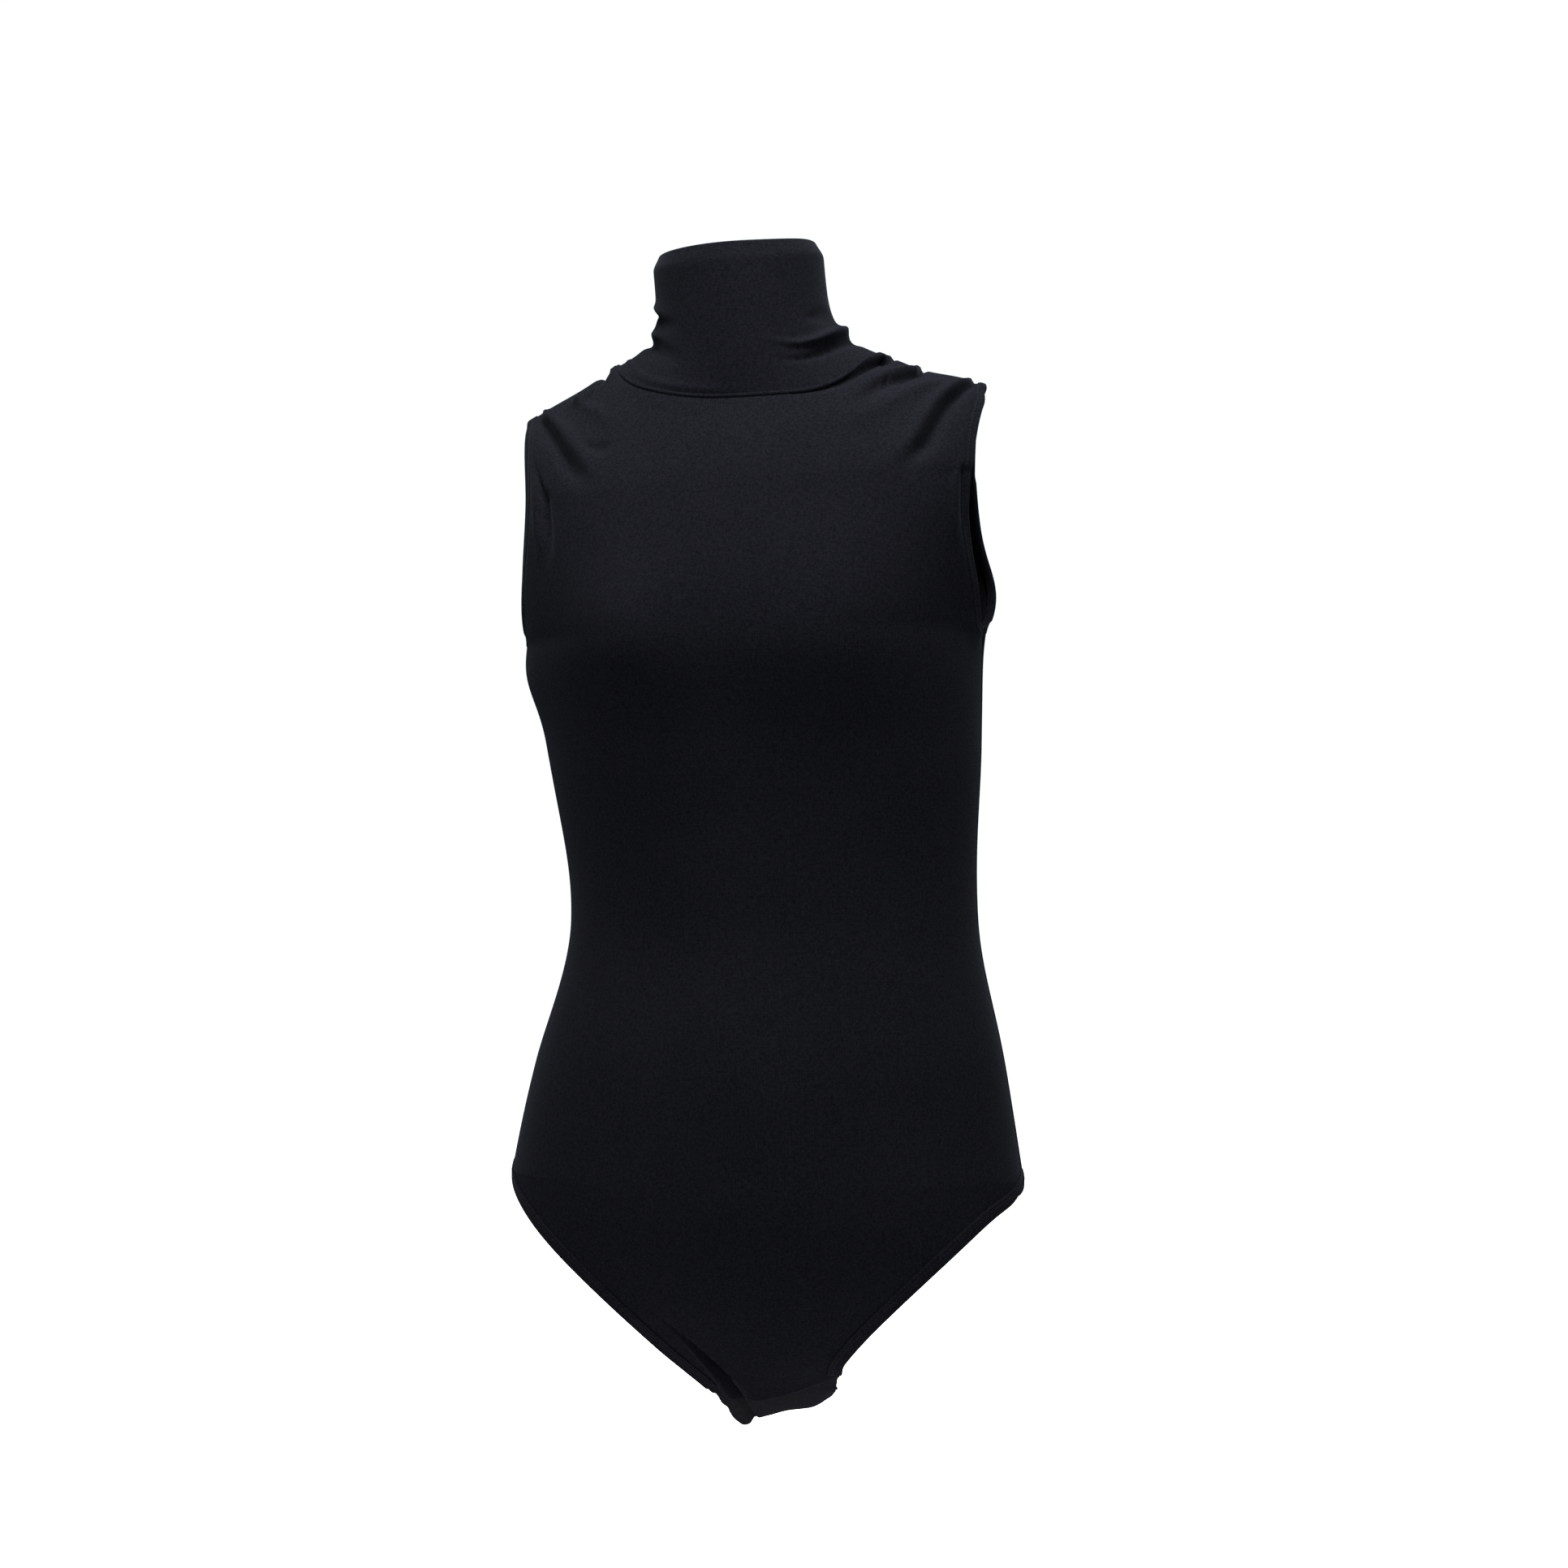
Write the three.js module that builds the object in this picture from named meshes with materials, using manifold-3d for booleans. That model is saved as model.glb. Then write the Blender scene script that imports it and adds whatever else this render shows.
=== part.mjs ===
// A sleeveless high-neck leotard with a press-stud crotch closure, in the shape it takes when worn.
//
// Frame: millimetres, +Z up, the wearer faces -Y and their left side is +X. The origin is on the body's axis
// at the level of the neck seam's two ends, where the garment hangs on the shoulders.
//
// Every cloth piece is a layer of one worn surface. That surface has a front and a back half, which meet at
// the shoulder seams and the side seams. Both halves are mirrored about the body's axis, and the wearer's
// posture then sways and tilts the whole.
import * as THREE from "three";
import { mergeVertices } from "three/addons/utils/BufferGeometryUtils.js";
import Module from "manifold-3d";

const wasm = await Module();
wasm.setup();

// ---------------------------------------------------------------- driving dimensions

// Levels.
const COLLAR_TOP = 77;
const NECK_SIDE = -2;
const NECK_FRONT = -24;
const NECK_BACK = 8;
const SHOULDER_TIP = -25;
const CHEST = -82;
const UNDERARM = -172;
const UNDERBUST = -240;
const WAIST = -352;
const HIP = -508;
const HIGH_HIP = WAIST + 0.564 * (HIP - WAIST);
const CLOSURE = -661;

// Half widths.
const COLLAR_HALF_WIDTH = 52;
const NECK_HALF_WIDTH = 84;
const SHOULDER_HALF_WIDTH = 143;
const CHEST_HALF_WIDTH = 136;
const BUST_HALF_WIDTH = 143;
const UNDERBUST_HALF_WIDTH = 138;
const WAIST_HALF_WIDTH = 129;
const HIP_HALF_WIDTH = 162;
const HIGH_HIP_HALF_WIDTH = WAIST_HALF_WIDTH + 0.606 * (HIP_HALF_WIDTH - WAIST_HALF_WIDTH);
const CROTCH_HALF_WIDTH = 33;

// How far the worn surface lies in front of and behind the body's axis.
const COLLAR_HALF_DEPTH = 55;
const COLLAR_FORWARD = 6;
const NECK_FRONT_DEPTH = 60;
const NECK_BACK_DEPTH = 58;
const CHEST_FRONT_DEPTH = 86;
const CHEST_BACK_DEPTH = 88;
const BUST_FRONT_DEPTH = 104;
const BUST_BACK_DEPTH = 94;
const UNDERBUST_FRONT_DEPTH = 94;
const UNDERBUST_BACK_DEPTH = 84;
const WAIST_FRONT_DEPTH = 84;
const WAIST_BACK_DEPTH = 66;
const HIGH_HIP_FRONT_DEPTH = 94;
const HIGH_HIP_BACK_DEPTH = 92;
const HIP_FRONT_DEPTH = 94;
const HIP_BACK_DEPTH = 108;
const TAB_SEAM_DEPTH = 28;

// Armholes and leg openings.
const ARMHOLE_HALF_DEPTH = 46;
const LEG_DROP = 18;
const LEG_SPREAD = 7;
const LEG_RISE = 33;

// Posture: how far the body's axis is off the origin, level by level, and the tilt of the shoulders.
const SWAY = [
  [COLLAR_TOP, -9],
  [NECK_SIDE, -3],
  [CHEST, 0],
  [UNDERARM, 0],
  [UNDERBUST, 5],
  [WAIST, 12],
  [HIGH_HIP, 9],
  [HIP, 7],
  [CLOSURE + 60, 8],
  [CLOSURE, 16],
];
const SHOULDER_TILT = 0.06;

// Cloth, elastic and seams.
const JERSEY = 0.9;
const LINING = 0.6;
const TOUCH_GAP = 0.3;
const LAYER_GAP = 0.8;
const SEAM_TRIM = 2;
const SEAM_REACH = 3;
const SEAM_THICKNESS = 1.2;
const STAY_THICKNESS = 0.4;
const NECK_SEAM_RADIUS = 1.2;
const COLLAR_PLY_GAP = 0.9;
const ARM_HEM = 5;
const LEG_HEM = 8;
const HEM_PLY = 0.6;
const HEM_GAP = 1.25;
const ELASTIC = 0.6;
const ARM_ELASTIC_WIDTH = 3.5;
const LEG_ELASTIC_WIDTH = 5;
const HEM_STOP = 5;
const GUSSET_LENGTH = 110;

// Crotch closure: two tabs that lap, held by press studs.
const TAB = 1.6;
const TAPE = 0.6;
const TAB_LAP = 12;
const FLAT_START = 13;
const FOLD_GAP = 1.2;
const STUD_COUNT = 3;
const STUD_PITCH = 20;
const STUD_RADIUS = 4.8;
const STUD_BASE = 0.7;
const SOCKET = 1.8;
const POST_RADIUS = 1.6;
const POST_LENGTH = 1.4;
const POST_CLEARANCE = 0.5;
const RING = 0.8;
const PRONG_BORE = 2.1;
const PRONG_RADIUS = 2.6;
const PRONG_CLEARANCE = 0.35;

// Labels, as cloth on the inside.
const LABEL = 0.4;
const LABEL_DEPTH = 4.2;

// ---------------------------------------------------------------- small mathematics

const clamp = (x, low, high) => Math.min(Math.max(x, low), high);
const mix = (a, b, t) => a + (b - a) * t;
const vec = (x, y, z) => new THREE.Vector3(x, y, z);
const steps = (from, to, count) => Array.from({ length: count + 1 }, (_, i) => mix(from, to, i / count));
const bump = (x, width) => Math.exp(-((x / width) ** 2));

function smoothstep(low, high, x) {
  const t = clamp((x - low) / (high - low), 0, 1);
  return t * t * (3 - 2 * t);
}

function hermite(p0, m0, p1, m1, t) {
  const t2 = t * t;
  const t3 = t2 * t;
  return (
    (2 * t3 - 3 * t2 + 1) * p0 + (t3 - 2 * t2 + t) * m0 + (3 * t2 - 2 * t3) * p1 + (t3 - t2) * m1
  );
}

const bezier = (p, t) =>
  (1 - t) ** 3 * p[0] + 3 * (1 - t) ** 2 * t * p[1] + 3 * (1 - t) * t ** 2 * p[2] + t ** 3 * p[3];

// A smooth function of level through a few [level, value] stations, highest first.
function through(stations) {
  const last = stations.length - 1;
  const slopes = stations.map((_, i) => {
    const a = stations[Math.max(i - 1, 0)];
    const b = stations[Math.min(i + 1, last)];
    return (b[1] - a[1]) / (b[0] - a[0]);
  });
  return (level) => {
    let i = 0;
    while (i < last - 1 && level < stations[i + 1][0]) i += 1;
    const [z0, y0] = stations[i];
    const [z1, y1] = stations[i + 1];
    const t = clamp((level - z0) / (z1 - z0), 0, 1);
    return hermite(y0, slopes[i] * (z1 - z0), y1, slopes[i + 1] * (z1 - z0), t);
  };
}

// ---------------------------------------------------------------- the press studs' stack

// Heights above the front tab's outer face, from the caps up to the back rings.
const CLOSURE_STACK = (() => {
  const tape = TAB + TOUCH_GAP;
  const socket = tape + TAPE + TOUCH_GAP;
  const stud = socket + SOCKET + TOUCH_GAP;
  const backTape = stud + STUD_BASE + TOUCH_GAP;
  const backTab = backTape + TAPE + TOUCH_GAP;
  const backRing = backTab + TAB + TOUCH_GAP;
  return { cap: -TOUCH_GAP - RING, tape, socket, stud, backTape, backTab, backRing };
})();

// ---------------------------------------------------------------- the worn surface

const halfWidth = through([
  [CHEST, CHEST_HALF_WIDTH],
  [UNDERARM, BUST_HALF_WIDTH],
  [UNDERBUST, UNDERBUST_HALF_WIDTH],
  [WAIST, WAIST_HALF_WIDTH],
  [HIGH_HIP, HIGH_HIP_HALF_WIDTH],
  [HIP, HIP_HALF_WIDTH],
]);

// Below the hip each half curves in to the tab seam, the back one later and rounder than the front one.
function lowerBody(hipDepth, seam, roundness) {
  return steps(0.2, 1, 5).map((t) => [mix(HIP, seam, t), mix(hipDepth, TAB_SEAM_DEPTH, t ** roundness)]);
}

const FRONT_SEAM = CLOSURE + 10;
const BACK_SEAM = CLOSURE + CLOSURE_STACK.backTab + 8;

const FRONT = {
  facing: -1,
  neckLevel: NECK_FRONT,
  neckDepth: NECK_FRONT_DEPTH,
  seam: FRONT_SEAM,
  flat: CLOSURE,
  lobe: { lift: 9, across: 68, level: UNDERARM - 4, width: 40, height: 50 },
  depth: through([
    [NECK_FRONT, NECK_FRONT_DEPTH],
    [CHEST, CHEST_FRONT_DEPTH],
    [UNDERARM, BUST_FRONT_DEPTH],
    [UNDERBUST, UNDERBUST_FRONT_DEPTH],
    [WAIST, WAIST_FRONT_DEPTH],
    [HIGH_HIP, HIGH_HIP_FRONT_DEPTH],
    [HIP, HIP_FRONT_DEPTH],
    ...lowerBody(HIP_FRONT_DEPTH, FRONT_SEAM, 2),
  ]),
};
const BACK = {
  facing: 1,
  neckLevel: NECK_BACK,
  neckDepth: NECK_BACK_DEPTH,
  seam: BACK_SEAM,
  flat: CLOSURE + CLOSURE_STACK.backTab,
  lobe: { lift: 9, across: 62, level: HIP - 12, width: 42, height: 50 },
  depth: through([
    [NECK_BACK, NECK_BACK_DEPTH],
    [CHEST, CHEST_BACK_DEPTH],
    [UNDERARM, BUST_BACK_DEPTH],
    [UNDERBUST, UNDERBUST_BACK_DEPTH],
    [WAIST, WAIST_BACK_DEPTH],
    [HIGH_HIP, HIGH_HIP_BACK_DEPTH],
    [HIP, HIP_BACK_DEPTH],
    ...lowerBody(HIP_BACK_DEPTH, BACK_SEAM, 3.2),
  ]),
};

const sway = through(SWAY);
const TILT_START = UNDERBUST - 20;
const TILT_END = CHEST + 20;

function posture(p) {
  const tilt = SHOULDER_TILT * smoothstep(TILT_START, TILT_END, p.z);
  return vec(p.x + sway(p.z), p.y, p.z + tilt * p.x);
}

// The armhole is an ellipse seen from the side, between the underarm and the shoulder tip.
function armholeEdge(half, level) {
  const share = clamp((level - UNDERARM) / (SHOULDER_TIP - UNDERARM), 0, 1);
  const reach = ARMHOLE_HALF_DEPTH * Math.sqrt(Math.max(1 - (2 * share - 1) ** 2, 0));
  return vec(mix(halfWidth(level), SHOULDER_HALF_WIDTH, share ** 3), half.facing * reach, level);
}

// The leg line from the hip (share 0) to the crotch (share 1), drawn flat and then laid on the body.
function legEdge(half, share) {
  const x = bezier(
    [HIP_HALF_WIDTH, HIP_HALF_WIDTH, CROTCH_HALF_WIDTH + LEG_SPREAD, CROTCH_HALF_WIDTH],
    share,
  );
  const level = bezier([HIP, HIP - LEG_DROP, half.seam + LEG_RISE, half.seam], share);
  const round = Math.sqrt(Math.max(1 - (x / HIP_HALF_WIDTH) ** 2, 0));
  return vec(x, half.facing * half.depth(level) * round, level);
}

// A point on a row that runs from the centre line (u = 0) to the edge (u = 1) as an arc of an ellipse.
function rowPoint(half, u, centreLevel, edge, turn) {
  const angle = u * turn;
  const x = (edge.x * Math.sin(angle)) / Math.sin(turn);
  const inward = (1 - Math.cos(angle)) / (1 - Math.cos(turn));
  const level = mix(centreLevel, edge.z, (x / edge.x) ** 2);
  const { lift, across, level: lobeLevel, width, height } = half.lobe;
  const lobe = lift * bump(x - across, width) * bump(level - lobeLevel, height) * Math.cos(angle);
  const y = mix(half.facing * half.depth(centreLevel), edge.y, inward) + half.facing * lobe;
  return vec(x, y, level);
}

// Rows from the chest (v = 1) to the hip (v = 2), and on to the tab seam (v = 3).
const levelAt = (v) => mix(CHEST, HIP, v - 1);
const shareDown = (level) => 1 + (level - CHEST) / (HIP - CHEST);

function bodyPoint(half, u, v) {
  if (v > 2) {
    const edge = legEdge(half, v - 2);
    const turn = Math.asin(clamp(edge.x / HIP_HALF_WIDTH, 0, 1));
    return rowPoint(half, u, mix(HIP, half.seam, v - 2), edge, turn);
  }
  const level = levelAt(v);
  if (level <= UNDERARM) return rowPoint(half, u, level, vec(halfWidth(level), 0, level), Math.PI / 2);
  const edge = armholeEdge(half, level);
  return rowPoint(half, u, level, edge, Math.acos(Math.abs(edge.y) / half.depth(level)));
}

// The top line of a half: the neck seam up to this share of u, then the shoulder seam.
const NECK_SHARE = 0.56;

function topPoint(half, u) {
  if (u <= NECK_SHARE) {
    const angle = ((u / NECK_SHARE) * Math.PI) / 2;
    const y = half.facing * half.neckDepth * Math.cos(angle);
    const level = mix(half.neckLevel, NECK_SIDE, Math.sin(angle) ** 2);
    return vec(NECK_HALF_WIDTH * Math.sin(angle), y, level);
  }
  const share = (u - NECK_SHARE) / (1 - NECK_SHARE);
  return vec(
    mix(NECK_HALF_WIDTH, SHOULDER_HALF_WIDTH, share),
    0,
    mix(NECK_SIDE, SHOULDER_TIP, share ** 1.3),
  );
}

// Between the top line (v = 0) and the chest (v = 1) the surface rolls over the shoulder.
function yokePoint(half, u, v) {
  const top = topPoint(half, u);
  const chest = bodyPoint(half, u, 1);
  const end = bodyPoint(half, u, 1.02).sub(chest).setLength(64);
  const overShoulder = smoothstep(NECK_SHARE * 0.5, NECK_SHARE * 1.2, u);
  const aside = 28 * Math.sin((Math.min(u / NECK_SHARE, 1) * Math.PI) / 2) ** 2 * (1 - smoothstep(NECK_SHARE, 1, u));
  const start = vec(aside, half.facing * mix(26, 78, overShoulder), mix(-50, -16, overShoulder));
  const blend = (k) => hermite(top[k], start[k], chest[k], end[k], v);
  return vec(blend("x"), blend("y"), blend("z"));
}

// The worn surface of a half, from the wearer's right edge (u = -1) to their left edge (u = 1).
function worn(half, u, v) {
  const p = v < 1 ? yokePoint(half, Math.abs(u), v) : bodyPoint(half, Math.abs(u), v);
  if (u < 0) p.x = -p.x;
  return posture(p);
}

// The outward normal. It is taken a little way in from the edge, where the rows of points don't run together.
function wornNormal(half, u, v) {
  const d = 4e-3;
  const at = clamp(u, -0.975, 0.975);
  const low = clamp(v, 0, 3 - d);
  const across = worn(half, at + d, low).sub(worn(half, at - d, low));
  const down = worn(half, at, low + d).sub(worn(half, at, low));
  return across.cross(down).multiplyScalar(half.facing).normalize();
}

function layerPoint(half, u, v, depth) {
  return worn(half, u, v).addScaledVector(wornNormal(half, u, v), -depth);
}

// ---------------------------------------------------------------- closed meshes from rings of points

function facingOut(g) {
  const p = g.attributes.position;
  const index = g.index.array;
  const [a, b, c] = [vec(), vec(), vec()];
  let volume = 0;
  for (let i = 0; i < index.length; i += 3) {
    a.fromBufferAttribute(p, index[i]);
    b.fromBufferAttribute(p, index[i + 1]);
    c.fromBufferAttribute(p, index[i + 2]);
    volume += a.dot(b.cross(c));
  }
  if (volume < 0) {
    for (let i = 0; i < index.length; i += 3) [index[i + 1], index[i + 2]] = [index[i + 2], index[i + 1]];
  }
  return g;
}

// Joins rings of points into a closed body. Each ring is one section: its first half runs along one side and
// its second half comes back along the other. A closed sweep returns to its first ring; an open one is capped.
function sweep(rings, closed = false) {
  const size = rings[0].length;
  const index = [];
  const spans = closed ? rings.length : rings.length - 1;
  for (let i = 0; i < spans; i += 1) {
    const here = i * size;
    const next = ((i + 1) % rings.length) * size;
    for (let k = 0; k < size; k += 1) {
      const l = (k + 1) % size;
      index.push(here + k, here + l, next + l, here + k, next + l, next + k);
    }
  }
  const end = (rings.length - 1) * size;
  for (let k = 0; !closed && k < size / 2 - 1; k += 1) {
    const [a, b, c, d] = [k, k + 1, size - 2 - k, size - 1 - k];
    index.push(a, c, b, a, d, c);
    index.push(end + a, end + b, end + c, end + a, end + c, end + d);
  }
  const g = new THREE.BufferGeometry();
  const positions = rings.flat().flatMap((p) => p.toArray());
  g.setAttribute("position", new THREE.Float32BufferAttribute(positions, 3));
  g.setIndex(index);
  return facingOut(g);
}

// A layer between two depths below the worn surface, on the grid of columns that each row asks for.
function clothLayer(half, rows, columnsAt, outer, inner) {
  const ring = (v) => {
    const columns = columnsAt(v);
    const outside = columns.map((u) => layerPoint(half, u, v, outer));
    const inside = columns.map((u) => layerPoint(half, u, v, inner));
    return [...outside, ...inside.reverse()];
  };
  return sweep(rows.map(ring));
}

function asSolid(geometry) {
  const bare = new THREE.BufferGeometry();
  bare.setAttribute("position", geometry.attributes.position);
  bare.setIndex(geometry.index);
  const merged = mergeVertices(bare, 1e-4);
  const vertProperties = merged.attributes.position.array;
  return new wasm.Manifold(new wasm.Mesh({ numProp: 3, vertProperties, triVerts: merged.index.array }));
}

function cut(geometry, tools) {
  const solid = tools.reduce((left, tool) => left.subtract(asSolid(tool)), asSolid(geometry));
  const mesh = solid.getMesh();
  const g = new THREE.BufferGeometry();
  g.setAttribute("position", new THREE.BufferAttribute(mesh.vertProperties, 3));
  g.setIndex(new THREE.BufferAttribute(mesh.triVerts, 1));
  return g;
}

// ---------------------------------------------------------------- materials and the group

const cloth = (color, roughness) => new THREE.MeshStandardMaterial({ color, roughness, metalness: 0 });
const MATERIAL = {
  jersey: cloth(0x17181c, 0.8),
  lining: cloth(0x141518, 0.85),
  elastic: cloth(0x101114, 0.7),
  thread: cloth(0x121317, 0.75),
  stay: new THREE.MeshStandardMaterial({ color: 0xc9ccd0, roughness: 0.25, metalness: 0 }),
  label: cloth(0x22242a, 0.6),
  metal: new THREE.MeshStandardMaterial({ color: 0x2a2b2e, roughness: 0.35, metalness: 0.9 }),
};

const leotard = new THREE.Group();

function add(name, geometry, material) {
  const mesh = new THREE.Mesh(geometry, material);
  mesh.name = name;
  leotard.add(mesh);
}

const SIDES = { right: -1, left: 1 };

// ---------------------------------------------------------------- front and back panels

const ARMHOLE_MIDDLE = (SHOULDER_TIP + UNDERARM) / 2;
const ARMHOLE_HALF_HEIGHT = (SHOULDER_TIP - UNDERARM) / 2;
const CHEST_ANGLE = Math.asin((CHEST - ARMHOLE_MIDDLE) / ARMHOLE_HALF_HEIGHT);
const armLevels = steps(CHEST_ANGLE, -Math.PI / 2, 6).map(
  (angle) => ARMHOLE_MIDDLE + ARMHOLE_HALF_HEIGHT * Math.sin(angle),
);

const YOKE_ROWS = steps(0, 1, 6);
const ARM_ROWS = armLevels.map(shareDown);
const TORSO_ROWS = steps(shareDown(UNDERARM), 2, 10);
const LEG_ROWS = steps(0, 1, 9).map((t) => 2 + t ** 1.5);

const TOP_ROW = SEAM_TRIM / 64;
const BOTTOM_ROW = 3 - FOLD_GAP / 190;
const HEM_END_ROW = 3 - HEM_STOP / 190;
const PANEL_ROWS = [
  TOP_ROW,
  ...YOKE_ROWS.slice(1),
  ...ARM_ROWS.slice(1),
  ...TORSO_ROWS.slice(1),
  ...LEG_ROWS.slice(1, -1),
  HEM_END_ROW,
  BOTTOM_ROW,
];

// Columns crowd towards the edge, where the body curves most. The outermost leave the side seam its room.
const HALF_COLUMNS = [
  ...steps(0, NECK_SHARE, 5),
  ...steps(0, Math.PI / 2, 5).slice(1).map((a) => mix(NECK_SHARE, 1, Math.sin(a))),
];

function panelColumns(v) {
  const atSideSeam = v > shareDown(UNDERARM) && v < 2.001;
  const reach = atSideSeam ? 1 - TOUCH_GAP / 220 : 1;
  const half = HALF_COLUMNS.map((u) => u * reach);
  return [...half.slice(1).reverse().map((u) => -u), ...half];
}

// The two halves' edges come together at the shoulder seam and at the underarm and hip, so the first rows
// there stop short of the edge as well.
function panel(half) {
  const nearCorner = (v) =>
    Math.abs(v - shareDown(UNDERARM)) < 1e-6 || Math.abs(v - 2) < 1e-6 ? 1 - TOUCH_GAP / 110 : 1;
  const columnsAt = (v) => panelColumns(v).map((u) => u * nearCorner(v));
  return clothLayer(half, PANEL_ROWS, columnsAt, 0, JERSEY);
}

function addPanels() {
  add("front_panel", panel(FRONT), MATERIAL.jersey);
  add("back_panel", panel(BACK), MATERIAL.jersey);
}

// ---------------------------------------------------------------- hems and elastic along an edge

// Points along an opening's edge with the outward normal and the direction into the cloth, which lies
// on the same hand of both paths. The normal at the hip is taken just above it, where the hem lies.
function edgePath(stations, side, closed) {
  const points = stations.map((s) => worn(s[0], side, s[1]));
  const last = points.length - 1;
  return points.map((point, i) => {
    const before = points[closed ? (i + last) % (last + 1) : Math.max(i - 1, 0)];
    const after = points[closed ? (i + 1) % (last + 1) : Math.min(i + 1, last)];
    const along = after.clone().sub(before).normalize();
    const [half, v, shared] = stations[i];
    const normal = wornNormal(half, side, v === 2 ? v - 0.02 : v);
    if (shared) normal.add(wornNormal(half === FRONT ? BACK : FRONT, side, v));
    normal.addScaledVector(along, -normal.dot(along)).normalize();
    const inward = normal.clone().cross(along).multiplyScalar(side);
    return { point, normal, inward };
  });
}

// Sweeps a section of [distance in from the edge, height above the worn surface] points along an edge.
function alongEdge(path, section, closed) {
  const rings = path.map(({ point, normal, inward }) =>
    section.map(([b, c]) => point.clone().addScaledVector(inward, b).addScaledVector(normal, c)),
  );
  return sweep(rings, closed);
}

// A folded hem: an outer ply, the fold past the cloth's edge, and an inner ply that covers the elastic.
function hemSection(width) {
  const outer = HEM_GAP;
  const inner = -(JERSEY + HEM_GAP + ELASTIC + HEM_GAP);
  const fold = -HEM_GAP;
  return [
    [width, outer + HEM_PLY],
    [fold - HEM_PLY, outer + HEM_PLY],
    [fold - HEM_PLY, inner - HEM_PLY],
    [width, inner - HEM_PLY],
    [width, inner],
    [fold, inner],
    [fold, outer],
    [width, outer],
  ];
}

function elasticSection(width) {
  const top = -(JERSEY + HEM_GAP);
  return [
    [0, top],
    [width, top],
    [width, top - ELASTIC],
    [0, top - ELASTIC],
  ];
}

// Both openings are followed up the front edge and down the back edge.
function armholeStations() {
  const down = [...YOKE_ROWS.slice(1), ...ARM_ROWS.slice(1, -1)];
  const front = down.map((v) => [FRONT, v, false]).reverse();
  const back = down.map((v) => [BACK, v, false]);
  return [[FRONT, shareDown(UNDERARM), true], ...front, [FRONT, 0, true], ...back];
}

function legStations() {
  const down = [...LEG_ROWS.slice(1, -1), HEM_END_ROW];
  const front = down.map((v) => [FRONT, v, false]).reverse();
  const back = down.map((v) => [BACK, v, false]);
  return [...front, [FRONT, 2, true], ...back];
}

function addHems() {
  for (const [name, side] of Object.entries(SIDES)) {
    const arm = edgePath(armholeStations(), side, true);
    const leg = edgePath(legStations(), side, false);
    add(`arm_hem_${name}`, alongEdge(arm, hemSection(ARM_HEM), true), MATERIAL.jersey);
    add(`arm_elastic_${name}`, alongEdge(arm, elasticSection(ARM_ELASTIC_WIDTH), true), MATERIAL.elastic);
    add(`leg_hem_${name}`, alongEdge(leg, hemSection(LEG_HEM), false), MATERIAL.jersey);
    add(`leg_elastic_${name}`, alongEdge(leg, elasticSection(LEG_ELASTIC_WIDTH), false), MATERIAL.elastic);
  }
}

// ---------------------------------------------------------------- seams

// A seam allowance inside the line where the two halves meet: one section reaches into both halves.
function seamAcross(stations, top, thickness) {
  const rings = stations.map((at) => {
    const line = (depth) => at.map(([half, u, v]) => layerPoint(half, u, v, depth));
    return [...line(top), ...line(top + thickness).reverse()];
  });
  return sweep(rings);
}

function sideSeam(side) {
  const hemRoom = 4 * HEM_GAP;
  const start = shareDown(UNDERARM - ARM_HEM - hemRoom);
  const end = shareDown(HIP + LEG_HEM + hemRoom);
  const reach = SEAM_REACH / 220;
  const stations = [start, ...TORSO_ROWS.filter((v) => v > start && v < end), end].map((v) => [
    [FRONT, side * (1 - reach), v],
    [FRONT, side, v],
    [BACK, side * (1 - reach), v],
  ]);
  return seamAcross(stations, JERSEY + LAYER_GAP, SEAM_THICKNESS);
}

function shoulderSeam(side, top, thickness) {
  const length = SHOULDER_HALF_WIDTH - NECK_HALF_WIDTH;
  const perShare = (1 - NECK_SHARE) / length;
  const start = NECK_SHARE + 5 * perShare;
  const end = 1 - (ARM_HEM + 3) * perShare;
  const reach = SEAM_REACH / 70;
  const stations = steps(start, end, 5).map((u) => [
    [FRONT, side * u, reach],
    [BACK, side * u, reach],
  ]);
  return seamAcross(stations, top, thickness);
}

function addSeams() {
  const seamTop = JERSEY + LAYER_GAP;
  const stayTop = seamTop + SEAM_THICKNESS + TOUCH_GAP;
  for (const [name, side] of Object.entries(SIDES)) {
    add(`side_seam_${name}`, sideSeam(side), MATERIAL.thread);
    add(`shoulder_seam_${name}`, shoulderSeam(side, seamTop, SEAM_THICKNESS), MATERIAL.thread);
    add(`shoulder_stay_${name}`, shoulderSeam(side, stayTop, STAY_THICKNESS), MATERIAL.stay);
  }
}

// ---------------------------------------------------------------- collar

// The neck seam's line, all the way round. Turn 0 is the front.
function neckLine(turn) {
  const half = Math.cos(turn) > 0 ? FRONT : BACK;
  const level = mix(half.neckLevel, NECK_SIDE, Math.sin(turn) ** 2);
  const y = -Math.cos(turn) * half.neckDepth;
  return vec(NECK_HALF_WIDTH * Math.sin(turn), y, level);
}

const COLLAR_FLARE = 5.5;

// The collar's outer face: it flares onto the neck seam and stands upright above it.
function collarPoint(turn, t) {
  const base = neckLine(turn);
  const x = COLLAR_HALF_WIDTH * Math.sin(turn);
  const y = -COLLAR_HALF_DEPTH * Math.cos(turn) - COLLAR_FORWARD;
  const spread = (1 - t) ** COLLAR_FLARE;
  return posture(vec(mix(x, base.x, spread), mix(y, base.y, spread), mix(base.z, COLLAR_TOP, t)));
}

function collarLayer(turn, t, depth) {
  const d = 1e-3;
  const around = collarPoint(turn + d, t).sub(collarPoint(turn - d, t));
  const up = collarPoint(turn, Math.min(t + d, 1)).sub(collarPoint(turn, Math.max(t - d, 0)));
  const normal = around.cross(up).normalize();
  return collarPoint(turn, t).addScaledVector(normal, -depth);
}

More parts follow.
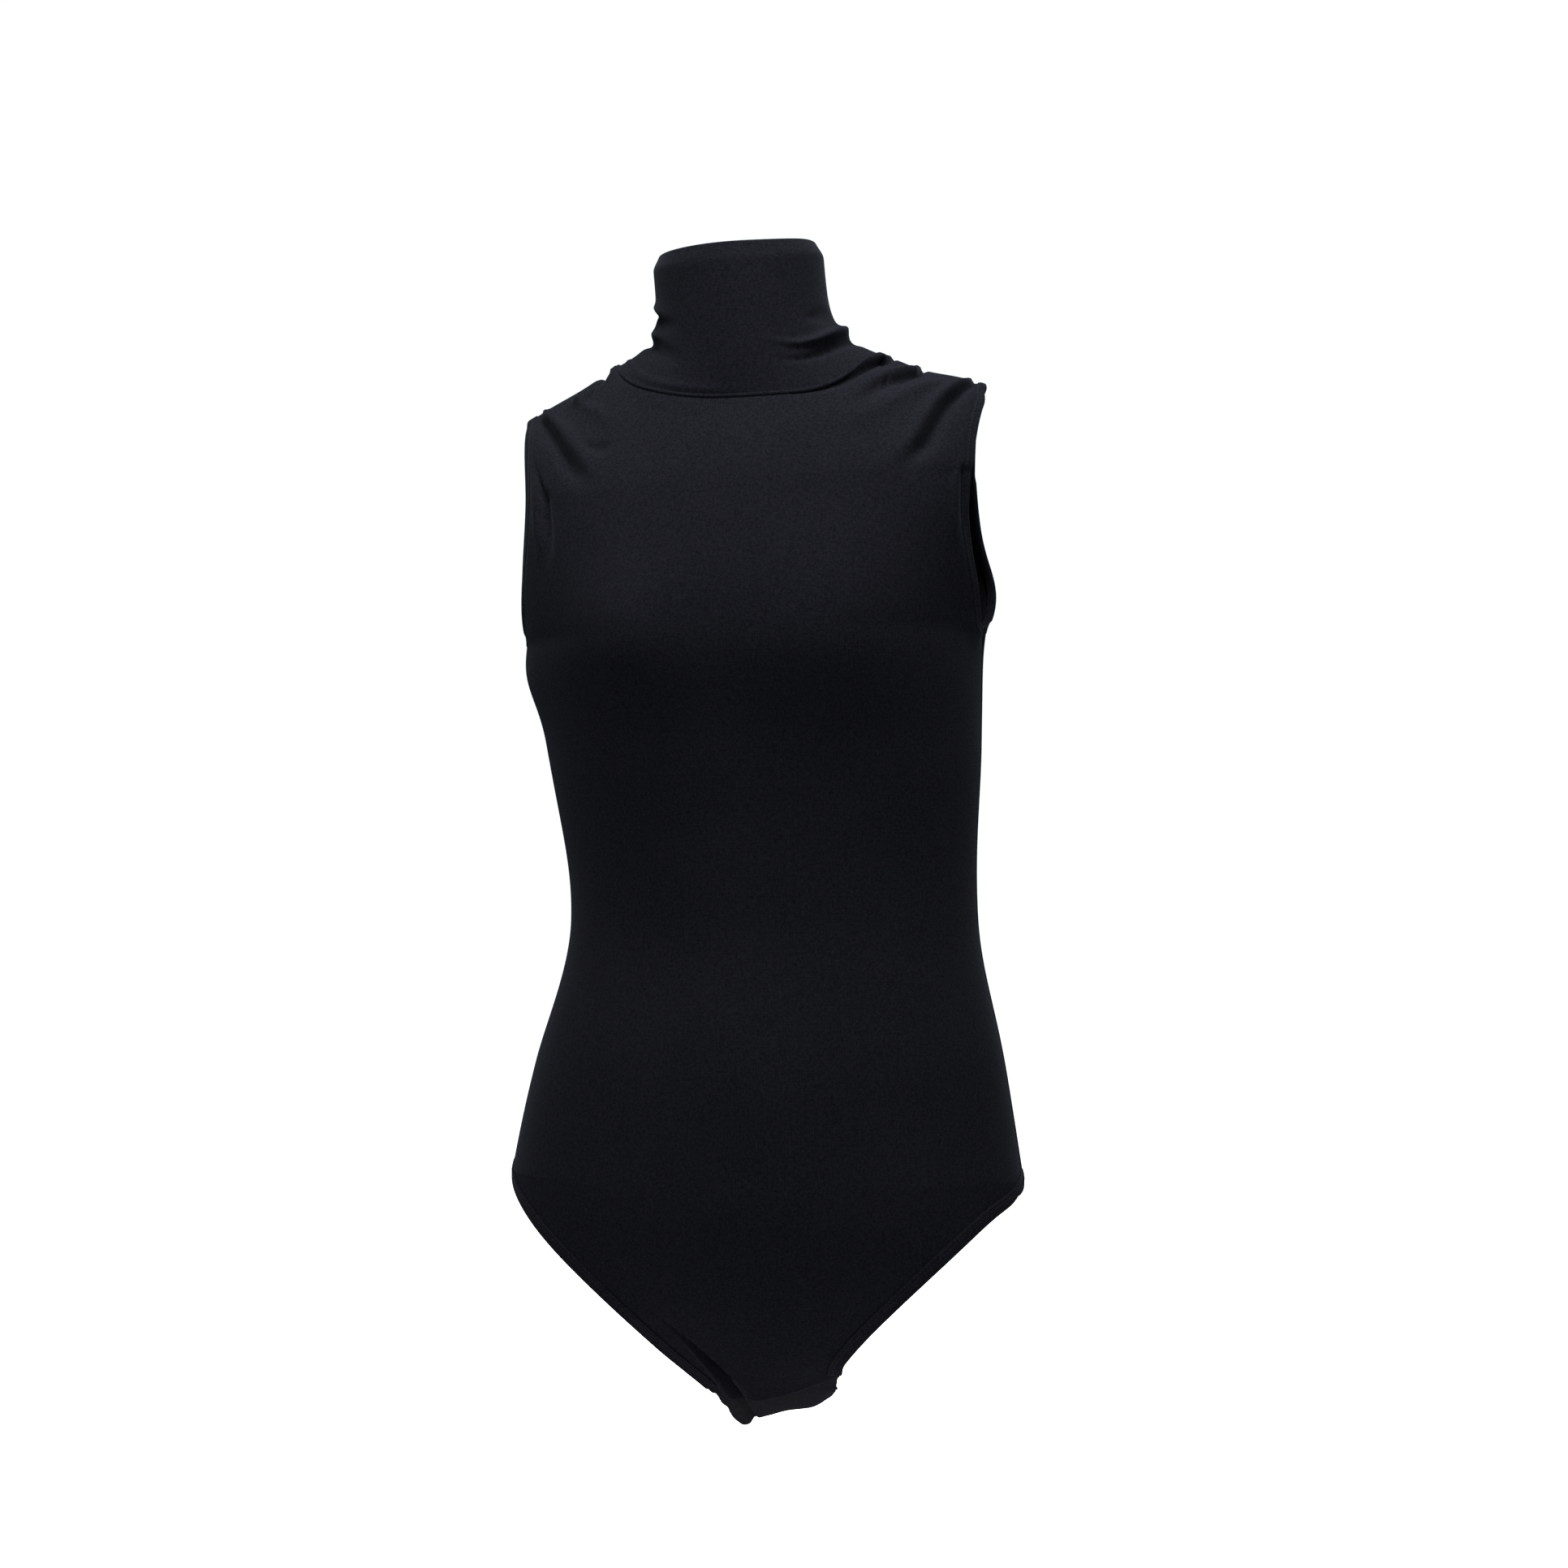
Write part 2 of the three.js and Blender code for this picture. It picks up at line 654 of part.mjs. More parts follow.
// One folded band: an outer ply, the fold at the top, and an inner ply.
function collar() {
  const foldDrop = JERSEY / (COLLAR_TOP - NECK_SIDE);
  const heights = steps(0, 1, 6).map((s) => 0.03 + 0.97 * s ** 1.5);
  const under = heights.map((t) => t * (1 - foldDrop));
  const inner = JERSEY + COLLAR_PLY_GAP;
  const ring = (turn) => [
    ...heights.map((t) => collarLayer(turn, t, 0)),
    ...heights.map((t) => collarLayer(turn, t, inner + JERSEY)).reverse(),
    ...under.map((t) => collarLayer(turn, t, inner)),
    ...under.map((t) => collarLayer(turn, t, JERSEY)).reverse(),
  ];
  const turns = steps(0, 2 * Math.PI, 28).slice(0, -1);
  return sweep(turns.map(ring), true);
}

function neckSeam() {
  const sides = 6;
  const ring = (turn) => {
    const centre = neckLine(turn);
    const out = vec(Math.sin(turn), -Math.cos(turn), 0);
    const point = (k) => {
      const a = (2 * Math.PI * k) / sides;
      const p = centre.clone().addScaledVector(out, NECK_SEAM_RADIUS * (Math.cos(a) - 0.8));
      p.z += NECK_SEAM_RADIUS * Math.sin(a);
      return posture(p);
    };
    return Array.from({ length: sides }, (_, k) => point(k));
  };
  return sweep(steps(0, 2 * Math.PI, 40).slice(0, -1).map(ring), true);
}

function addCollar() {
  add("collar", collar(), MATERIAL.jersey);
  add("neck_seam", neckSeam(), MATERIAL.thread);
}

// ---------------------------------------------------------------- crotch closure

const CROTCH_X = sway(CLOSURE);

// The outer face of a tab from its fold (share 0) to its free end, in the plane of Y and Z.
function tabPath(half) {
  const seam = new THREE.Vector2(half.facing * TAB_SEAM_DEPTH, half.seam);
  const bend = new THREE.Vector2(half.facing * (FLAT_START + 5), half.flat);
  const flat = new THREE.Vector2(half.facing * FLAT_START, half.flat);
  const free = new THREE.Vector2(-half.facing * TAB_LAP, half.flat);
  const curve = new THREE.QuadraticBezierCurve(seam, bend, flat);
  const start = FOLD_GAP / curve.getLength();
  const points = steps(start, 1, 5).map((t) => curve.getPointAt(t));
  return [...points, free];
}

// A strip that follows a tab's path at a distance inside its outer face.
function tabStrip(half, offset, thickness, halfWidth, from = 0, shorten = 0) {
  const path = tabPath(half).slice(from);
  const free = path.at(-1);
  free.x += half.facing * shorten;
  const rings = path.map((p, i) => {
    const before = path[Math.max(i - 1, 0)];
    const after = path[Math.min(i + 1, path.length - 1)];
    const along = after.clone().sub(before).normalize();
    const inward = new THREE.Vector2(half.facing * along.y, -half.facing * along.x);
    const at = (x, depth) => vec(CROTCH_X + x, p.x + inward.x * depth, p.y + inward.y * depth);
    const [near, far] = [offset, offset + thickness];
    return [at(-halfWidth, near), at(halfWidth, near), at(halfWidth, far), at(-halfWidth, far)];
  });
  return sweep(rings);
}

const STUD_SEGMENTS = 12;
const STUD_XS = steps(-1, 1, STUD_COUNT - 1).map((s) => CROTCH_X + (s * STUD_PITCH * (STUD_COUNT - 1)) / 2);

// A round piece from its [radius, height above the front tab's outer face] profile, standing at a stud's place.
function turned(profile, x, closedOnItself) {
  const points = profile.map(([r, z]) => new THREE.Vector2(r, z));
  if (closedOnItself) points.push(points[0].clone());
  const g = new THREE.LatheGeometry(points, STUD_SEGMENTS);
  g.deleteAttribute("normal");
  g.deleteAttribute("uv");
  g.rotateX(Math.PI / 2);
  g.translate(x, 0, CLOSURE);
  return facingOut(mergeVertices(g, 1e-4));
}

function prongHoles(from, to) {
  const r = PRONG_RADIUS + PRONG_CLEARANCE;
  const profile = [
    [0, from],
    [r, from],
    [r, to],
    [0, to],
  ];
  return STUD_XS.map((x) => turned(profile, x, false));
}

// A washer outside the cloth, with a prong tube that passes through the tab and its tape.
function prongRing(base, tubeEnd) {
  const rim = base + Math.sign(tubeEnd - base) * RING;
  return [
    [PRONG_BORE, base],
    [STUD_RADIUS, base],
    [STUD_RADIUS, rim],
    [PRONG_RADIUS, rim],
    [PRONG_RADIUS, tubeEnd],
    [PRONG_BORE, tubeEnd],
  ];
}

function addStuds() {
  const { cap, tape, socket, stud, backTape, backRing } = CLOSURE_STACK;
  const bore = POST_RADIUS + POST_CLEARANCE;
  STUD_XS.forEach((x, i) => {
    const socketProfile = [
      [bore, socket],
      [STUD_RADIUS, socket],
      [STUD_RADIUS, socket + SOCKET],
      [bore, socket + SOCKET],
    ];
    const studProfile = [
      [0, stud - POST_LENGTH],
      [POST_RADIUS, stud - POST_LENGTH],
      [POST_RADIUS, stud],
      [STUD_RADIUS, stud],
      [STUD_RADIUS, stud + STUD_BASE],
      [0, stud + STUD_BASE],
    ];
    const capRing = prongRing(cap, tape + TAPE);
    const backRingProfile = prongRing(backRing + RING, backTape);
    add(`stud_cap_${i + 1}`, turned(capRing, x, true), MATERIAL.metal);
    add(`stud_socket_${i + 1}`, turned(socketProfile, x, true), MATERIAL.metal);
    add(`stud_post_${i + 1}`, turned(studProfile, x, false), MATERIAL.metal);
    add(`stud_ring_${i + 1}`, turned(backRingProfile, x, true), MATERIAL.metal);
  });
}

function addTabs() {
  const { tape, backTape, backTab } = CLOSURE_STACK;
  const holes = prongHoles(-2 * TAB, backTab + 3 * TAB);
  const tapeHalfWidth = CROTCH_HALF_WIDTH - 2;
  const firstFlat = 5;
  const frontTape = tabStrip(FRONT, tape, TAPE, tapeHalfWidth, firstFlat, 1);
  const backTapeStrip = tabStrip(BACK, backTape - backTab, TAPE, tapeHalfWidth, firstFlat, 1);
  add("front_tab", cut(tabStrip(FRONT, 0, TAB, CROTCH_HALF_WIDTH), holes), MATERIAL.jersey);
  add("front_tape", cut(frontTape, holes), MATERIAL.lining);
  add("back_tab", cut(tabStrip(BACK, 0, TAB, CROTCH_HALF_WIDTH), holes), MATERIAL.jersey);
  add("back_tape", cut(backTapeStrip, holes), MATERIAL.lining);
}

// ---------------------------------------------------------------- gusset linings and labels

// A lining shares the panel's rows and columns, so that the two layers stay parallel, and clears the leg hems.
function gusset(half) {
  const length = (HIP - half.seam) * 1.3;
  const start = 3 - GUSSET_LENGTH / length;
  const rows = PANEL_ROWS.filter((v) => v > start);
  const reach = 1 - (LEG_HEM + 2 * HEM_GAP) / CROTCH_HALF_WIDTH;
  const columnsAt = (v) => panelColumns(v).filter((u) => Math.abs(u) < reach);
  const top = JERSEY + 2 * LAYER_GAP;
  return clothLayer(half, rows, columnsAt, top, top + LINING);
}

function label(half, uRange, vRange) {
  const columns = steps(...uRange, 3);
  return clothLayer(half, steps(...vRange, 3), () => columns, LABEL_DEPTH, LABEL_DEPTH + LABEL);
}

function addLinings() {
  const careLabel = HIP + 108;
  add("front_gusset", gusset(FRONT), MATERIAL.lining);
  add("back_gusset", gusset(BACK), MATERIAL.lining);
  add("care_label", label(BACK, [0.9, 0.98], [shareDown(careLabel - 40), shareDown(careLabel)]), MATERIAL.label);
  add("size_label", label(BACK, [-0.09, 0.09], [0.14, 0.34]), MATERIAL.label);
}

addPanels();
addHems();
addSeams();
addCollar();
addTabs();
addStuds();
addLinings();

export default leotard;
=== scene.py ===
"""A sleeveless high-neck leotard in black stretch jersey, in its worn shape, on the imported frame."""
import math

import bpy
import numpy as np
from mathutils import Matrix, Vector
from mathutils.bvhtree import BVHTree


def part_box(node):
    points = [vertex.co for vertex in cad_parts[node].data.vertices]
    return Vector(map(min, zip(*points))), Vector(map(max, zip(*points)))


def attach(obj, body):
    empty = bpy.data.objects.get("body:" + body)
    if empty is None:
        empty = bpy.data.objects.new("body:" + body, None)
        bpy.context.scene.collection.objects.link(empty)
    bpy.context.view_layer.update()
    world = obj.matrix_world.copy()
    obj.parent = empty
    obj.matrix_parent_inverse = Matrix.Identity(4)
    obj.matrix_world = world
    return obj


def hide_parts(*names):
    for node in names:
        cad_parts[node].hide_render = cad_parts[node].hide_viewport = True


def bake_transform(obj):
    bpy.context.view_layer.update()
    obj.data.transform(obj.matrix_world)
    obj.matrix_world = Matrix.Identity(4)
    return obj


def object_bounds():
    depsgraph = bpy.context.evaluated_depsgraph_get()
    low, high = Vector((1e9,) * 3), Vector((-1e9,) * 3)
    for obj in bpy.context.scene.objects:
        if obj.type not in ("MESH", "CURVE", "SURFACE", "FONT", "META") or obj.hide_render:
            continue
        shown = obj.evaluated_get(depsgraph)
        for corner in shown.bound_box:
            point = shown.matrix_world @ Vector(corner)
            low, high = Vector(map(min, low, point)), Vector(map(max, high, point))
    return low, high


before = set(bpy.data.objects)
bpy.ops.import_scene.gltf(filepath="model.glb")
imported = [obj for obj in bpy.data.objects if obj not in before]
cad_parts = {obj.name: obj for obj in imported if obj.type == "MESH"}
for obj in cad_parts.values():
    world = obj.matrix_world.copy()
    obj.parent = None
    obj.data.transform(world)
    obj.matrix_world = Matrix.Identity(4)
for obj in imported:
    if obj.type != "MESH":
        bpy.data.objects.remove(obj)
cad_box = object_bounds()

MM = 0.001


def corner(node, end):
    """The lowest (0) or highest (1) corner of a CAD node."""
    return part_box(node)[end]


# ------------ sizes
# In millimetres. Levels are heights above the top of the shoulders, so most of them are negative. They
# repeat the stations that the CAD is built on, and what the frame gives directly is read from it.

COLLAR_TOP = 77
NECK_SIDE = -2
NECK_FRONT = -24
NECK_BACK = 8
SHOULDER_TIP = -25
CHEST = -82
UNDERARM = -172
UNDERBUST = -240
WAIST = -352
HIGH_HIP = -440
HIP = -508

COLLAR_HALF_WIDTH = 52
NECK_HALF_WIDTH = 84
SHOULDER_HALF_WIDTH = 143
HIP_HALF_WIDTH = 162
HALF_WIDTHS = [
    [CHEST, 136], [UNDERARM, 143], [UNDERBUST, 138], [WAIST, 129], [HIGH_HIP, 149], [HIP, HIP_HALF_WIDTH],
]
FRONT_DEPTHS = [
    [NECK_FRONT, 60], [CHEST, 86], [UNDERARM, 104], [UNDERBUST, 94], [WAIST, 84], [HIGH_HIP, 94], [HIP, 94],
]
BACK_DEPTHS = [
    [NECK_BACK, 58], [CHEST, 88], [UNDERARM, 94], [UNDERBUST, 84], [WAIST, 66], [HIGH_HIP, 92], [HIP, 108],
]

COLLAR_HALF_DEPTH = 55
COLLAR_FORWARD = 6
COLLAR_FLARE = 5.5
COLLAR_SLOUCH = 9
COLLAR_ROUNDING = 4.5
COLLAR_RIGHT_WIDTH = 3
COLLAR_LEFT_RISE = 3.5
COLLAR_RIGHT_RISE = 0.5
ARMHOLE_HALF_DEPTH = 46
LEG_DROP = 18
LEG_SPREAD = 7
LEG_RISE = 33
TAB_SEAM_DEPTH = 28
NECK_SHARE = 0.56
NECK_CORNER = 0.07
NECK_LIFT = 6
NECK_SCOOP = 3
NECK_DIP = 6
SHOULDER_TILT = 0.06
# How the surface sets out from the neck and from the shoulder seam: how far forward (or back), and up.
NECK_START = (26, -50)
SHOULDER_START = (78, -16)
NECK_ASIDE = 28
YOKE_RUN_IN = 64
LOBE = 12
LOBE_HALF_HEIGHT = 50

JERSEY = 0.9
ARM_HEM = 5
LEG_HEM = 8

CROTCH_X = (corner("front_tab", 0).x + corner("front_tab", 1).x) / 2 / MM
CROTCH_HALF_WIDTH = (corner("front_tab", 1).x - corner("front_tab", 0).x) / 2 / MM
CLOSURE = corner("front_tab", 0).z / MM
BACK_FLAT = corner("back_tab", 0).z / MM
SWAY = [
    [COLLAR_TOP, -9], [NECK_SIDE, -3], [CHEST, 0], [UNDERARM, 0], [UNDERBUST, 5],
    [WAIST, 12], [HIGH_HIP, 9], [HIP, 7], [CLOSURE + 60, 8], [CLOSURE, CROTCH_X],
]

# How the crotch is pulled out of true, from its right edge (-1) to its left edge (1).
CROTCH_REACH = 50
LOWEST = -0.65
LEFT_RISE = 8
TURN_FORWARD = 5
RIGHT_DRAW = 3.5
LEFT_SPREAD = 3
LEFT_BULGE = 3
BULGE_LEVEL = CLOSURE + 27
RIGHT_CURL = 5
RIGHT_CURL_START = 0.68
LEFT_CURL = 8
LEFT_CURL_START = 0.52

# How the cloth hangs away from the worn surface.
SHOULDER_SAG = 4
TIP_PULL = 4
BUST_FULLNESS = 5
HIP_SAG = 5


# ------------ small mathematics

def mix(a, b, t):
    return a + (b - a) * t


def bump(x, width):
    return np.exp(-((x / width) ** 2))


def smoothstep(low, high, x):
    t = np.clip((x - low) / (high - low), 0.0, 1.0)
    return t * t * (3 - 2 * t)


def hermite(p0, m0, p1, m1, t):
    t2, t3 = t * t, t * t * t
    return (2 * t3 - 3 * t2 + 1) * p0 + (t3 - 2 * t2 + t) * m0 + (3 * t2 - 2 * t3) * p1 + (t3 - t2) * m1


def bezier(p, t):
    s = 1 - t
    return s**3 * p[0] + 3 * s**2 * t * p[1] + 3 * s * t**2 * p[2] + t**3 * p[3]


def through(stations):
    """A smooth function of level through [level, value] stations, highest first."""
    z = np.array([s[0] for s in stations], float)
    y = np.array([s[1] for s in stations], float)
    last = len(z) - 1
    before = np.maximum(np.arange(last + 1) - 1, 0)
    after = np.minimum(np.arange(last + 1) + 1, last)
    slope = (y[after] - y[before]) / (z[after] - z[before])

    def at(level):
        level = np.asarray(level, float)
        i = sum((level < z[k]).astype(int) for k in range(1, last))
        span = z[i + 1] - z[i]
        t = np.clip((level - z[i]) / span, 0, 1)
        return hermite(y[i], slope[i] * span, y[i + 1], slope[i + 1] * span, t)

    return at


def points(x, y, z):
    return np.stack(np.broadcast_arrays(x, y, z), axis=-1).astype(float)


def unit(vectors):
    return vectors / np.maximum(np.linalg.norm(vectors, axis=-1, keepdims=True), 1e-12)


# ------------ the worn surface

class Half:
    """The front (facing -1) or the back (facing 1) of the garment."""

    def __init__(self, facing, depths, seam, roundness, lobe):
        self.facing = facing
        self.neck_level, self.neck_depth = depths[0]
        self.seam = seam
        self.lobe = lobe
        hip_depth = depths[-1][1]
        shares = (0.2, 0.36, 0.52, 0.68, 0.84, 1)
        lower = [[mix(HIP, seam, t), mix(hip_depth, TAB_SEAM_DEPTH, t**roundness)] for t in shares]
        self.depth = through(depths + lower)


# The lobes are the bust and the seat: how far aside, at what level and how wide.
FRONT = Half(-1, FRONT_DEPTHS, CLOSURE + 10, 2, (68, UNDERARM - 4, 40))
BACK = Half(1, BACK_DEPTHS, BACK_FLAT + 8, 3.2, (62, HIP - 12, 42))
half_width = through(HALF_WIDTHS)
sway = through(SWAY)


def posture(p):
    tilt = SHOULDER_TILT * smoothstep(UNDERBUST - 20, CHEST + 20, p[..., 2])
    swayed = points(p[..., 0] + sway(p[..., 2]), p[..., 1], p[..., 2] + tilt * p[..., 0])
    return crotch_pull(swayed)


def crotch_pull(p):
    """The crotch hangs lowest under the wearer's right, where it is drawn in. Towards their left it rises,
    spreads and turns to the front. Its long edges curl up into the leg openings."""
    x, y, z = p[..., 0], p[..., 1], p[..., 2]
    share = np.clip((x - CROTCH_X) / CROTCH_HALF_WIDTH, -1, 1)
    near = smoothstep(CLOSURE + CROTCH_REACH, CLOSURE + 10, z)
    turn = TURN_FORWARD * np.clip(y / TAB_SEAM_DEPTH, -1, 1) * smoothstep(0, 1, share)
    spread = LEFT_SPREAD * smoothstep(0, 1, share)
    bulge = LEFT_BULGE * smoothstep(0.3, 1, share) * bump(z - BULGE_LEVEL, 14)
    draw = RIGHT_DRAW * smoothstep(0.2, -1, share) + spread + bulge - turn
    rise = LEFT_RISE * (share > LOWEST) * (np.hypot(share - LOWEST, 0.2) - 0.2)
    start = np.where(share > 0, LEFT_CURL_START, RIGHT_CURL_START)
    past = np.maximum(np.abs(share) - start, 0) / (1 - start)
    curl = np.where(share > 0, LEFT_CURL, RIGHT_CURL) * past**2 * smoothstep(CLOSURE + 12, CLOSURE + 2, z)
    return p + near[..., None] * points(draw, 0, rise + curl)


def armhole_edge(half, level):
    share = np.clip((level - UNDERARM) / (SHOULDER_TIP - UNDERARM), 0, 1)
    reach = ARMHOLE_HALF_DEPTH * np.sqrt(np.maximum(1 - (2 * share - 1) ** 2, 0))
    return points(mix(half_width(level), SHOULDER_HALF_WIDTH, share**3), half.facing * reach, level)


def leg_edge(half, share):
    x = bezier([HIP_HALF_WIDTH, HIP_HALF_WIDTH, CROTCH_HALF_WIDTH + LEG_SPREAD, CROTCH_HALF_WIDTH], share)
    level = bezier([HIP, HIP - LEG_DROP, half.seam + LEG_RISE, half.seam], share)
    bow = np.sqrt(np.maximum(1 - (x / HIP_HALF_WIDTH) ** 2, 0))
    return points(x, half.facing * half.depth(level) * bow, level)


def row_point(half, u, centre, edge, turn):
    """A point on a row that runs as an arc of an ellipse from the centre line (u = 0) to the edge (u = 1)."""
    angle = u * turn
    x = edge[..., 0] * np.sin(angle) / np.sin(turn)
    inward = (1 - np.cos(angle)) / (1 - np.cos(turn))
    level = mix(centre, edge[..., 2], (x / edge[..., 0]) ** 2)
    across, lobe_level, width = half.lobe
    lobe = LOBE * bump(x - across, width) * bump(level - lobe_level, LOBE_HALF_HEIGHT) * np.cos(angle)
    y = mix(half.facing * half.depth(centre), edge[..., 1], inward)
    return points(x, y + half.facing * lobe, level)


def body_point(half, u, v):
    level = mix(CHEST, HIP, np.clip(v, 1, 2) - 1)
    leg = leg_edge(half, np.clip(v - 2, 0, 1))
    arm = armhole_edge(half, level)
    side = points(half_width(level), 0 * level, level)
    in_leg, in_side = v > 2, level <= UNDERARM
    edge = np.where(in_leg[..., None], leg, np.where(in_side[..., None], side, arm))
    arm_turn = np.arccos(np.clip(np.abs(arm[..., 1]) / half.depth(level), -1, 1))
    leg_turn = np.arcsin(np.clip(leg[..., 0] / HIP_HALF_WIDTH, 0, 1))
    turn = np.where(in_leg, leg_turn, np.where(in_side, math.pi / 2, arm_turn))
    centre = np.where(in_leg, mix(HIP, half.seam, np.clip(v - 2, 0, 1)), level)
    return row_point(half, u, centre, edge, turn)


def top_point(half, u):
    """The neck seam up to NECK_SHARE of u, then the shoulder seam."""
    angle = np.minimum(u / NECK_SHARE, 1) * math.pi / 2
    neck = points(
        NECK_HALF_WIDTH * np.sin(angle),
        half.facing * half.neck_depth * np.cos(angle),
        mix(half.neck_level, NECK_SIDE, np.sin(angle) ** 2),
    )
    share = np.maximum(u - NECK_SHARE, 0) / (1 - NECK_SHARE)
    shoulder = points(
        mix(NECK_HALF_WIDTH, SHOULDER_HALF_WIDTH, share), 0 * u, mix(NECK_SIDE, SHOULDER_TIP, share**1.3)
    )
    return np.where((u <= NECK_SHARE)[..., None], neck, shoulder)


def neck_slip(front, u):
    """How far the neck seam has slipped: up at the wearer's right, and down in front, most of all a little
    left of the middle. Here u has its sign, as in worn."""
    scoop = (NECK_SCOOP + NECK_DIP * bump(u - 0.24, 0.14)) * smoothstep(NECK_SHARE, 0.3, np.abs(u)) * front
    return NECK_LIFT * bump(u + 0.54, 0.14) - scoop


def yoke_point(half, u, v):
    """Between the top line (v = 0) and the chest (v = 1) the surface rolls over the shoulder. It leaves the
    neck steeply, and the shoulder almost level."""
    one = np.ones_like(u)
    top, chest = top_point(half, u), body_point(half, u, one)
    end = YOKE_RUN_IN * unit(body_point(half, u, 1.02 * one) - chest)
    over = smoothstep(NECK_SHARE * 0.5, NECK_SHARE * 1.2, u)
    outside = 1 - smoothstep(NECK_SHARE, 1, u)
    aside = NECK_ASIDE * np.sin(np.minimum(u / NECK_SHARE, 1) * math.pi / 2) ** 2 * outside
    away, up = (mix(neck, shoulder, over) for neck, shoulder in zip(NECK_START, SHOULDER_START))
    start = points(aside, half.facing * away, up)
    return hermite(top, start, chest, end, np.clip(v, 0, 1)[..., None])


def worn(half, u, v):
    """Points of the worn surface in millimetres, from the wearer's right (u = -1) to left (u = 1) edge."""
    u, v = np.broadcast_arrays(np.asarray(u, float), np.asarray(v, float))
    a = np.abs(u)
    corner_share = smoothstep(0, 0.3, v) * smoothstep(1, 0.7, v)
    spread = np.minimum(NECK_CORNER * corner_share, np.minimum(a, 1 - a))
    before, here, after = (yoke_point(half, a + k * spread, v) for k in (-1, 0, 1))
    yoke = 0.25 * before + 0.5 * here + 0.25 * after
    p = np.where((v < 1)[..., None], yoke, body_point(half, a, np.maximum(v, 1)))
    p[..., 0] *= np.where(u < 0, -1, 1)
    p[..., 2] += neck_slip(half is FRONT, u) * smoothstep(0.6, 0, v)
    return posture(p)


def worn_normal(half, u, v):
    d = 4e-3
    at = np.clip(u, -0.975, 0.975)
    low = np.clip(v, 0, 3 - d)
    across = worn(half, at + d, low) - worn(half, at - d, low)
    down = worn(half, at, low + d) - worn(half, at, low)
    return unit(np.cross(across, down)) * half.facing


def collar_point(turn, t):
    """The collar's outer face: turn 0 is the front, t runs from the neck seam to the fold at the top."""
    turn, t = np.broadcast_arrays(np.asarray(turn, float), np.asarray(t, float))
    front = np.cos(turn) > 0
    base_level = mix(np.where(front, FRONT.neck_level, BACK.neck_level), NECK_SIDE, np.sin(turn) ** 2)
    base_depth = np.where(front, FRONT.neck_depth, BACK.neck_depth)
    right, left = np.maximum(-np.sin(turn), 0), np.maximum(np.sin(turn), 0)
    rounding = COLLAR_ROUNDING * smoothstep(0.86, 1.02, t)
    half = COLLAR_HALF_WIDTH + COLLAR_RIGHT_WIDTH * right**2 * smoothstep(0.2, 0.5, t) - rounding
    x = mix(half, NECK_HALF_WIDTH, (1 - t) ** COLLAR_FLARE) * np.sin(turn)
    upright = (rounding * 0.6 - COLLAR_HALF_DEPTH) * np.cos(turn) - COLLAR_FORWARD
    y = mix(upright, -base_depth * np.cos(turn), (1 - t) ** COLLAR_FLARE)
    top = COLLAR_TOP - COLLAR_SLOUCH + COLLAR_LEFT_RISE * left**3 + COLLAR_RIGHT_RISE * right**3
    aside = NECK_SHARE * np.arcsin(np.clip(np.sin(turn), -1, 1)) / (math.pi / 2)
    base_level = base_level + neck_slip(front, aside)
    return posture(points(x, y, mix(base_level, top, t)))


def collar_normal(turn, t):
    d = 1e-3
    around = collar_point(turn + d, t) - collar_point(turn - d, t)
    up = collar_point(turn, np.minimum(t + d, 1)) - collar_point(turn, np.maximum(t - d, 0))
    return unit(np.cross(around, up))


# ------------ folds

COLLAR = "collar"


def on(surface, *stops):
    """A run of (u, v) stops on one surface."""
    return [(surface, u, v) for u, v in stops]


def crease(stops, depth, width, ridge=0, side=1, away=1):
    """A groove of a depth and width in millimetres through (surface, u, v) stops. A soft ridge can stand
    beside it, some widths away, on the left (1) or the right (-1) of its direction. A groove of negative
    depth is a ridge by itself."""
    return stops, depth, width, ridge, side, away


